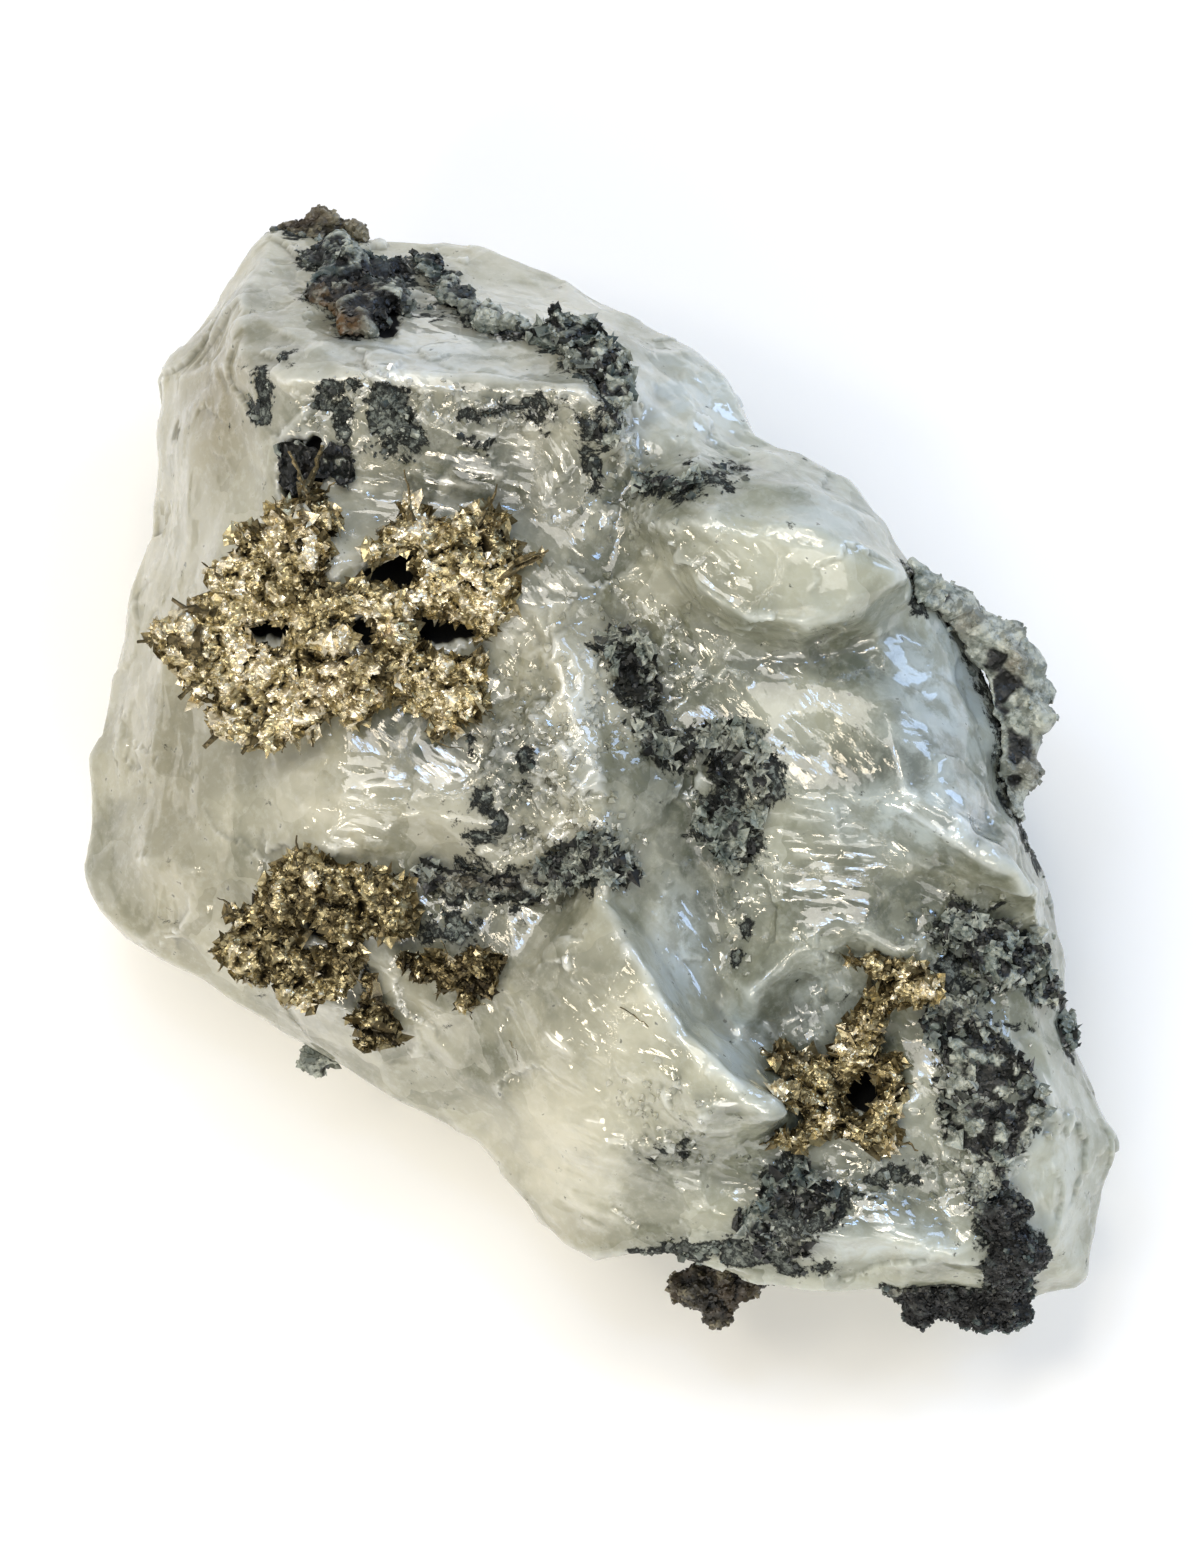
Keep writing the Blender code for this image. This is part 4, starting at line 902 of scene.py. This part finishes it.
def etched_calcite():
    """Milky calcite, acid-etched: light sinks in and thick places go grey-green. Crests and thin rib edges
    are painted white as highlights, hollows painted darker as shade, and a bluish window light is painted
    in towards the right; the gloss of its many small cleavage facets lies over it."""
    material, put = new_material("etched_milky_calcite", {
        "IOR": 1.5, "Subsurface Radius": (1.0, 0.96, 0.84), "Specular IOR Level": 0.2,
        "Subsurface Scale": 0.0015, "Coat Weight": 1.0, "Coat Roughness": 0.06, "Coat IOR": 1.85,
    })
    cool, edge, hole = painted(put, "cool"), painted(put, "edge"), painted(put, "hole")
    laid_dust = painted(put, "dust")
    wisps = grain(put, 2.0, 6, 0.6, 0.4)
    blocks = put("split", put("cells", warped_place(put, 2.5, 0.002), 1 / (4.5 * MM))).node.outputs
    body = put("mix", put("step", grain(put, 5.5, 5, 0.55, 0.3), 0.36, 0.62), "#75755F", "#A3A18C")
    body = layered(put, body, [
        (put("step", blocks[0], 0.3, 0.9, 0, 0.3), "#CFCDBE"),
        (put("step", blocks[1], 0.4, 0.9, 0, 0.25), "#5E6153"),
        (put("times", painted(put, "milky"), put("step", wisps, 0.36, 0.58, 0.7, 1.0)), "#C6C2AC"),
        (put("times", painted(put, "clear"), put("step", wisps, 0.62, 0.42, 0.4, 1.0)), "#4A4F42"),
        # bluish white: partly the calcite's own tone, partly a painted reflection of the window's light
        (put("times", cool, put("step", wisps, 0.4, 0.6, 0.3, 0.9)), "#C3CBCB"),
        (painted(put, "warm"), "#827A5B"),
        (put("step", grain(put, 0.8, 4, 0.65), 0.46, 0.68, 0.0, 0.16), "#DCDCD2"),
        # painted shade: hollows darkened
        (put("times", painted(put, "hollow"), 0.45), "#55584B"),
        # painted highlight: crests and ridges whitened
        (put("times", painted(put, "crest"), 0.5), "#E4E6E1"),
        # painted highlights along the ribs' thin edges, bluish where the window's light is painted
        (put("times", edge, 0.45), put("mix", cool, "#F6F3E6", "#E6EEF6")),
    ])
    # painted light: a bluish cast from the window, stronger towards the right
    body = put("tint", painted(put, "cold"), body, "#F0F6F8")
    # painted highlights: short bright dashes along the thin edges of the ribs, standing in for glints; the
    # real ones are hair-thin, and would not show, so they are drawn 0.4 mm wide
    cells = put("cells", cleavage_place(put, 2.8, 0.42, 1.0), 1.0)
    chance = put("split", cells).node.outputs[2]
    glint_dash = put("step", cells.node.outputs["Distance"], 0.36, 0.24)
    glint_dash = put("times", glint_dash, put("step", chance, 0.4, 0.5))
    glint_dash = put("times", glint_dash, put("step", edge, 0.1, 0.5, 0, 0.8))
    # a film of ore dust with a ragged border, over a thin grey haze
    crust = put("plus", grain(put, 1.8, 6, 0.72, 0.4), put("times", laid_dust, 0.3))
    dust = put("step", crust, 0.63, 0.72)
    grey = put("mix", put("step", grain(put, 0.4, 3, 0.7), 0.42, 0.6), "#343835", "#747A73")
    body = layered(put, body, [
        # painted highlights: the glint dashes, cream-white, or bluish as reflected window light
        (glint_dash, put("mix", cool, "#FFFDF4", "#EAF4FF")),
        (put("times", laid_dust, 0.3), "#434844"),
        (dust, put("mix", put("step", crust, 0.72, 0.86), "#121513", grey)),
        (put("times", put("step", grain(put, 0.8, 2), 0.7, 0.76), 0.7), "#4A4B42"),
        (put("step", hole, 0.2, 0.6), "#0A0A08"),
    ])
    bump = put("bump", put("noise", cleavage_place(put, 2.4, 0.8, 0.6), 1.0, 3, 0.5))
    facets = tipped(put, cells, put("step", painted(put, "ribbed"), 0.1, 0.6, 0.1, 0.4), bump)
    dull = put("plus", put("times", dust, 0.4), hole)
    dry = put("plus", put("times", dust, 0.8), hole)
    return finished(material, {
        "Base Color": body,
        "Coat Normal": sparkle(put, 0.7, put("times", painted(put, "sugary"), 0.24), facets),
        "Roughness": put("step", dull, 0.0, 1.0, 0.5, 1.0),
        "Coat Weight": put("less", put("step", dry, 0.0, 0.8, 1.0, 0.0), painted(put, "matt")),
        "Subsurface Weight": put("step", put("plus", painted(put, "crisp"), glint_dash), 0.0, 1.0, 0.5, 0.06),
    })


def tarnished_silver():
    """Native silver under a thin brown-gold tarnish, with a painted highlight on its torn edges and other
    proud parts, and painted shade, nearly black, where it is sunk.
    Its real facets are too fine to show, so they are drawn 0.35 mm wide."""
    material, put = new_material("tarnished_native_silver", {"Metallic": 0.85})
    tint = painted(put, "tint")
    body = layered(put, put("mix", put("step", tint, 0.0, 0.5), "#6B6044", "#B7AA82"), [
        # painted highlight: the palest colour, mostly on parts that stand proud
        (put("step", tint, 0.5, 1.0), "#F0E6CC"),
        (put("step", grain(put, 2.6, 3), 0.54, 0.68, 0, 0.5), "#85775A"),
        (put("times", put("step", grain(put, 1.6, 2), 0.68, 0.76), 0.35), "#7A4F3D"),
        # painted shade: nearly black where the silver is sunk
        (put("step", painted(put, "sunk"), 0.45, 0.95, 0, 0.92), "#221D14"),
    ])
    return finished(material, {"Base Color": body, "Normal": sparkle(put, 0.35, 0.5),
                               "Roughness": put("step", grain(put, 0.4, 2), 0.3, 0.7, 0.24, 0.45)})


def rough_ore(name, dark, middle, light, stain):
    """Dull granular ore: dark grains, paler crusts, and a few bright glints. Its real facets are too fine
    to show, so they are drawn 0.3 mm wide."""
    material, put = new_material(name, {"Metallic": 0.1, "Coat Weight": 0.15, "Coat Roughness": 0.3})
    tint = painted(put, "tint")
    crust = put("times", put("step", grain(put, 1.3, 4, 0.7), 0.42, 0.6), put("step", tint, 0.35, 0.8))
    rust = put("times", painted(put, "rusty"), put("step", grain(put, 0.9, 3), 0.34, 0.56, 0.5, 1.0))
    body = layered(put, put("mix", put("step", tint, 0.1, 0.55), dark, middle), [
        (crust, light),
        (put("step", grain(put, 4, 3), 0.48, 0.62, 0, 0.4), stain),
        (rust, "#5A3D10"),
        # painted shade, with each clump's own black: nearly black where sunk
        (put("step", painted(put, "sunk"), 0.42, 0.8, 0, 0.96), "#060706"),
    ])
    return finished(material, {"Base Color": body, "Normal": sparkle(put, 0.3, 0.6),
                               "Roughness": put("step", grain(put, 0.7, 2), 0.4, 0.65, 0.34, 0.75)})


def pale_floor():
    """White board, matt."""
    material, put = new_material("matt_white_board", {"Roughness": 0.9, "Specular IOR Level": 0.1})
    return finished(material, {"Base Color": put("mix", grain(put, 60, 2), "#FBFBFA", "#FDFDFC")})


# ---- the studio ----

# Lamps: (across, up, out) in millimetres, (width, height), watts, colour.
LAMPS = [
    ((-180, 400, 760), (620, 420), 3.3, "#FFFAF2"),  # overhead
    ((120, -560, 760), (700, 460), 2.7, "#FFFCF6"),  # front fill
    ((360, 290, 110), (150, 220), 0.6, "#B4D2FF"),  # window
    ((-75, 150, 420), (40, 80), 0.13, "#9CC6FF"),  # sky light on the left and on the right
    ((200, 150, 380), (40, 80), 0.13, "#9CC6FF"),
]
# Small warm bulbs, each where the ribs of one part of the face mirror it: (across, up, out).
BULBS = [(60, -290, 340), (-95, -285, 335), (-320, -210, 240), (-240, -125, 360), (-290, 110, 325),
         (-190, 65, 400), (25, 200, 400)]
BULB = ((56, 56), 0.13, "#FFF0D6")


def make_lamp(place, size, watts, colour):
    lamp = bpy.data.lights.new("lamp", "AREA")
    lamp.shape = "RECTANGLE"
    lamp.size, lamp.size_y = size[0] * MM, size[1] * MM
    lamp.energy = watts
    lamp.color = hex_colour(colour)[:3]
    obj = new_object("lamp", lamp)
    obj.location = face_point(*place)
    obj.rotation_mode = "QUATERNION"
    obj.rotation_quaternion = (obj.location - face_point(0, 0, 0)).to_track_quat("Z", "Y")


def make_studio():
    floor_mesh = bpy.data.meshes.new("white_board")
    half = 1.2
    floor_mesh.from_pydata([(-half, -half, 0), (half, -half, 0), (half, half, 0), (-half, half, 0)], [],
                           [(0, 1, 2, 3)])
    floor = new_object("white_board", floor_mesh)
    floor.data.materials.append(pale_floor())
    for lamp in LAMPS + [(place, *BULB) for place in BULBS]:
        make_lamp(*lamp)
    world = bpy.data.worlds.new("studio_air")
    world.use_nodes = True
    sky = world.node_tree.nodes["Background"]
    sky.inputs["Color"].default_value = hex_colour("#F2F5FA")
    sky.inputs["Strength"].default_value = 0.45
    bpy.context.scene.world = world
    bpy.context.scene.view_settings.view_transform = "Standard"


def make_camera():
    lens = bpy.data.cameras.new("camera")
    lens.sensor_width = FRAME_SENSOR
    lens.lens = FRAME_SENSOR * VIEW_DISTANCE / FRAME_HEIGHT
    lens.clip_end = 10
    camera = new_object("camera", lens)
    camera.matrix_world = Matrix((ACROSS, UP, OUT)).transposed().to_4x4()
    camera.location = face_point(0, 0, VIEW_DISTANCE)
    bpy.context.scene.camera = camera


def settle(piece, nodes, slot):
    """Fixes a finished piece to the part and hides the CAD nodes that it stands for."""
    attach(piece, "root")
    if nodes:
        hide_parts(*nodes)


def main():
    make_camera()
    make_studio()
    tree = scatter_tree()
    calcite = etched_calcite()
    metal = tarnished_silver()
    ore = rough_ore("granular_dark_ore", "#2B302E", "#757A70", "#B6BAAE", "#566A68")
    brown = rough_ore("weathered_brown_ore", "#2B271D", "#625C48", "#8F8872", "#4A3A26")
    leaves = shape_box("silver leaves", [star_plate(f"leaf_{n}", n, 6, 0.1) for n in range(6)])
    grains = shape_box("ore grains", [blocky_grain(f"grain_{n}", n, 0.6 + 0.1 * n) for n in range(5)])
    crumbs = shape_box("calcite crumbs", [blocky_grain(f"crumb_{n}", 20 + n, 0.75) for n in range(4)])

    block = make_block()
    strewn = [
        ("calcite_crumbs", crumbs, calcite, "sugary", 3.2, (0.00012, 0.00042), 1.6, 4, "milky_calcite"),
        ("ore_grit", grains, ore, "grit", 12, (0.00004, 0.00016), 2.6, 6, "dark_ore"),
        ("ore_flakes", grains, ore, "grit", 2.2, (0.00014, 0.00042), 2.6, 8, "dark_ore"),
    ]
    loose = [new_object(name, block.data.copy()) for name, *_ in strewn]
    block.data.materials.append(calcite)
    settle(block, ["matrix"], "milky_calcite")
    for piece, (_, *given, slot) in zip(loose, strewn):
        scatter(piece, tree, *given, keep_surface=False)
        settle(piece, [], slot)

    for seed, node in enumerate(sorted(SILVER_NODES)):
        settle(make_silver(node, metal, leaves, tree, 10 + seed), [node], "tarnished_silver")
    settle(make_wires(metal), [], "tarnished_silver")
    for seed, node in enumerate(sorted(ORE_NODES)):
        finish = brown if node in BROWN_NODES else ore
        slot = "brown_ore" if node in BROWN_NODES else "dark_ore"
        settle(make_ore(node, finish, grains, leaves, tree, 40 + seed), [node], slot)


main()
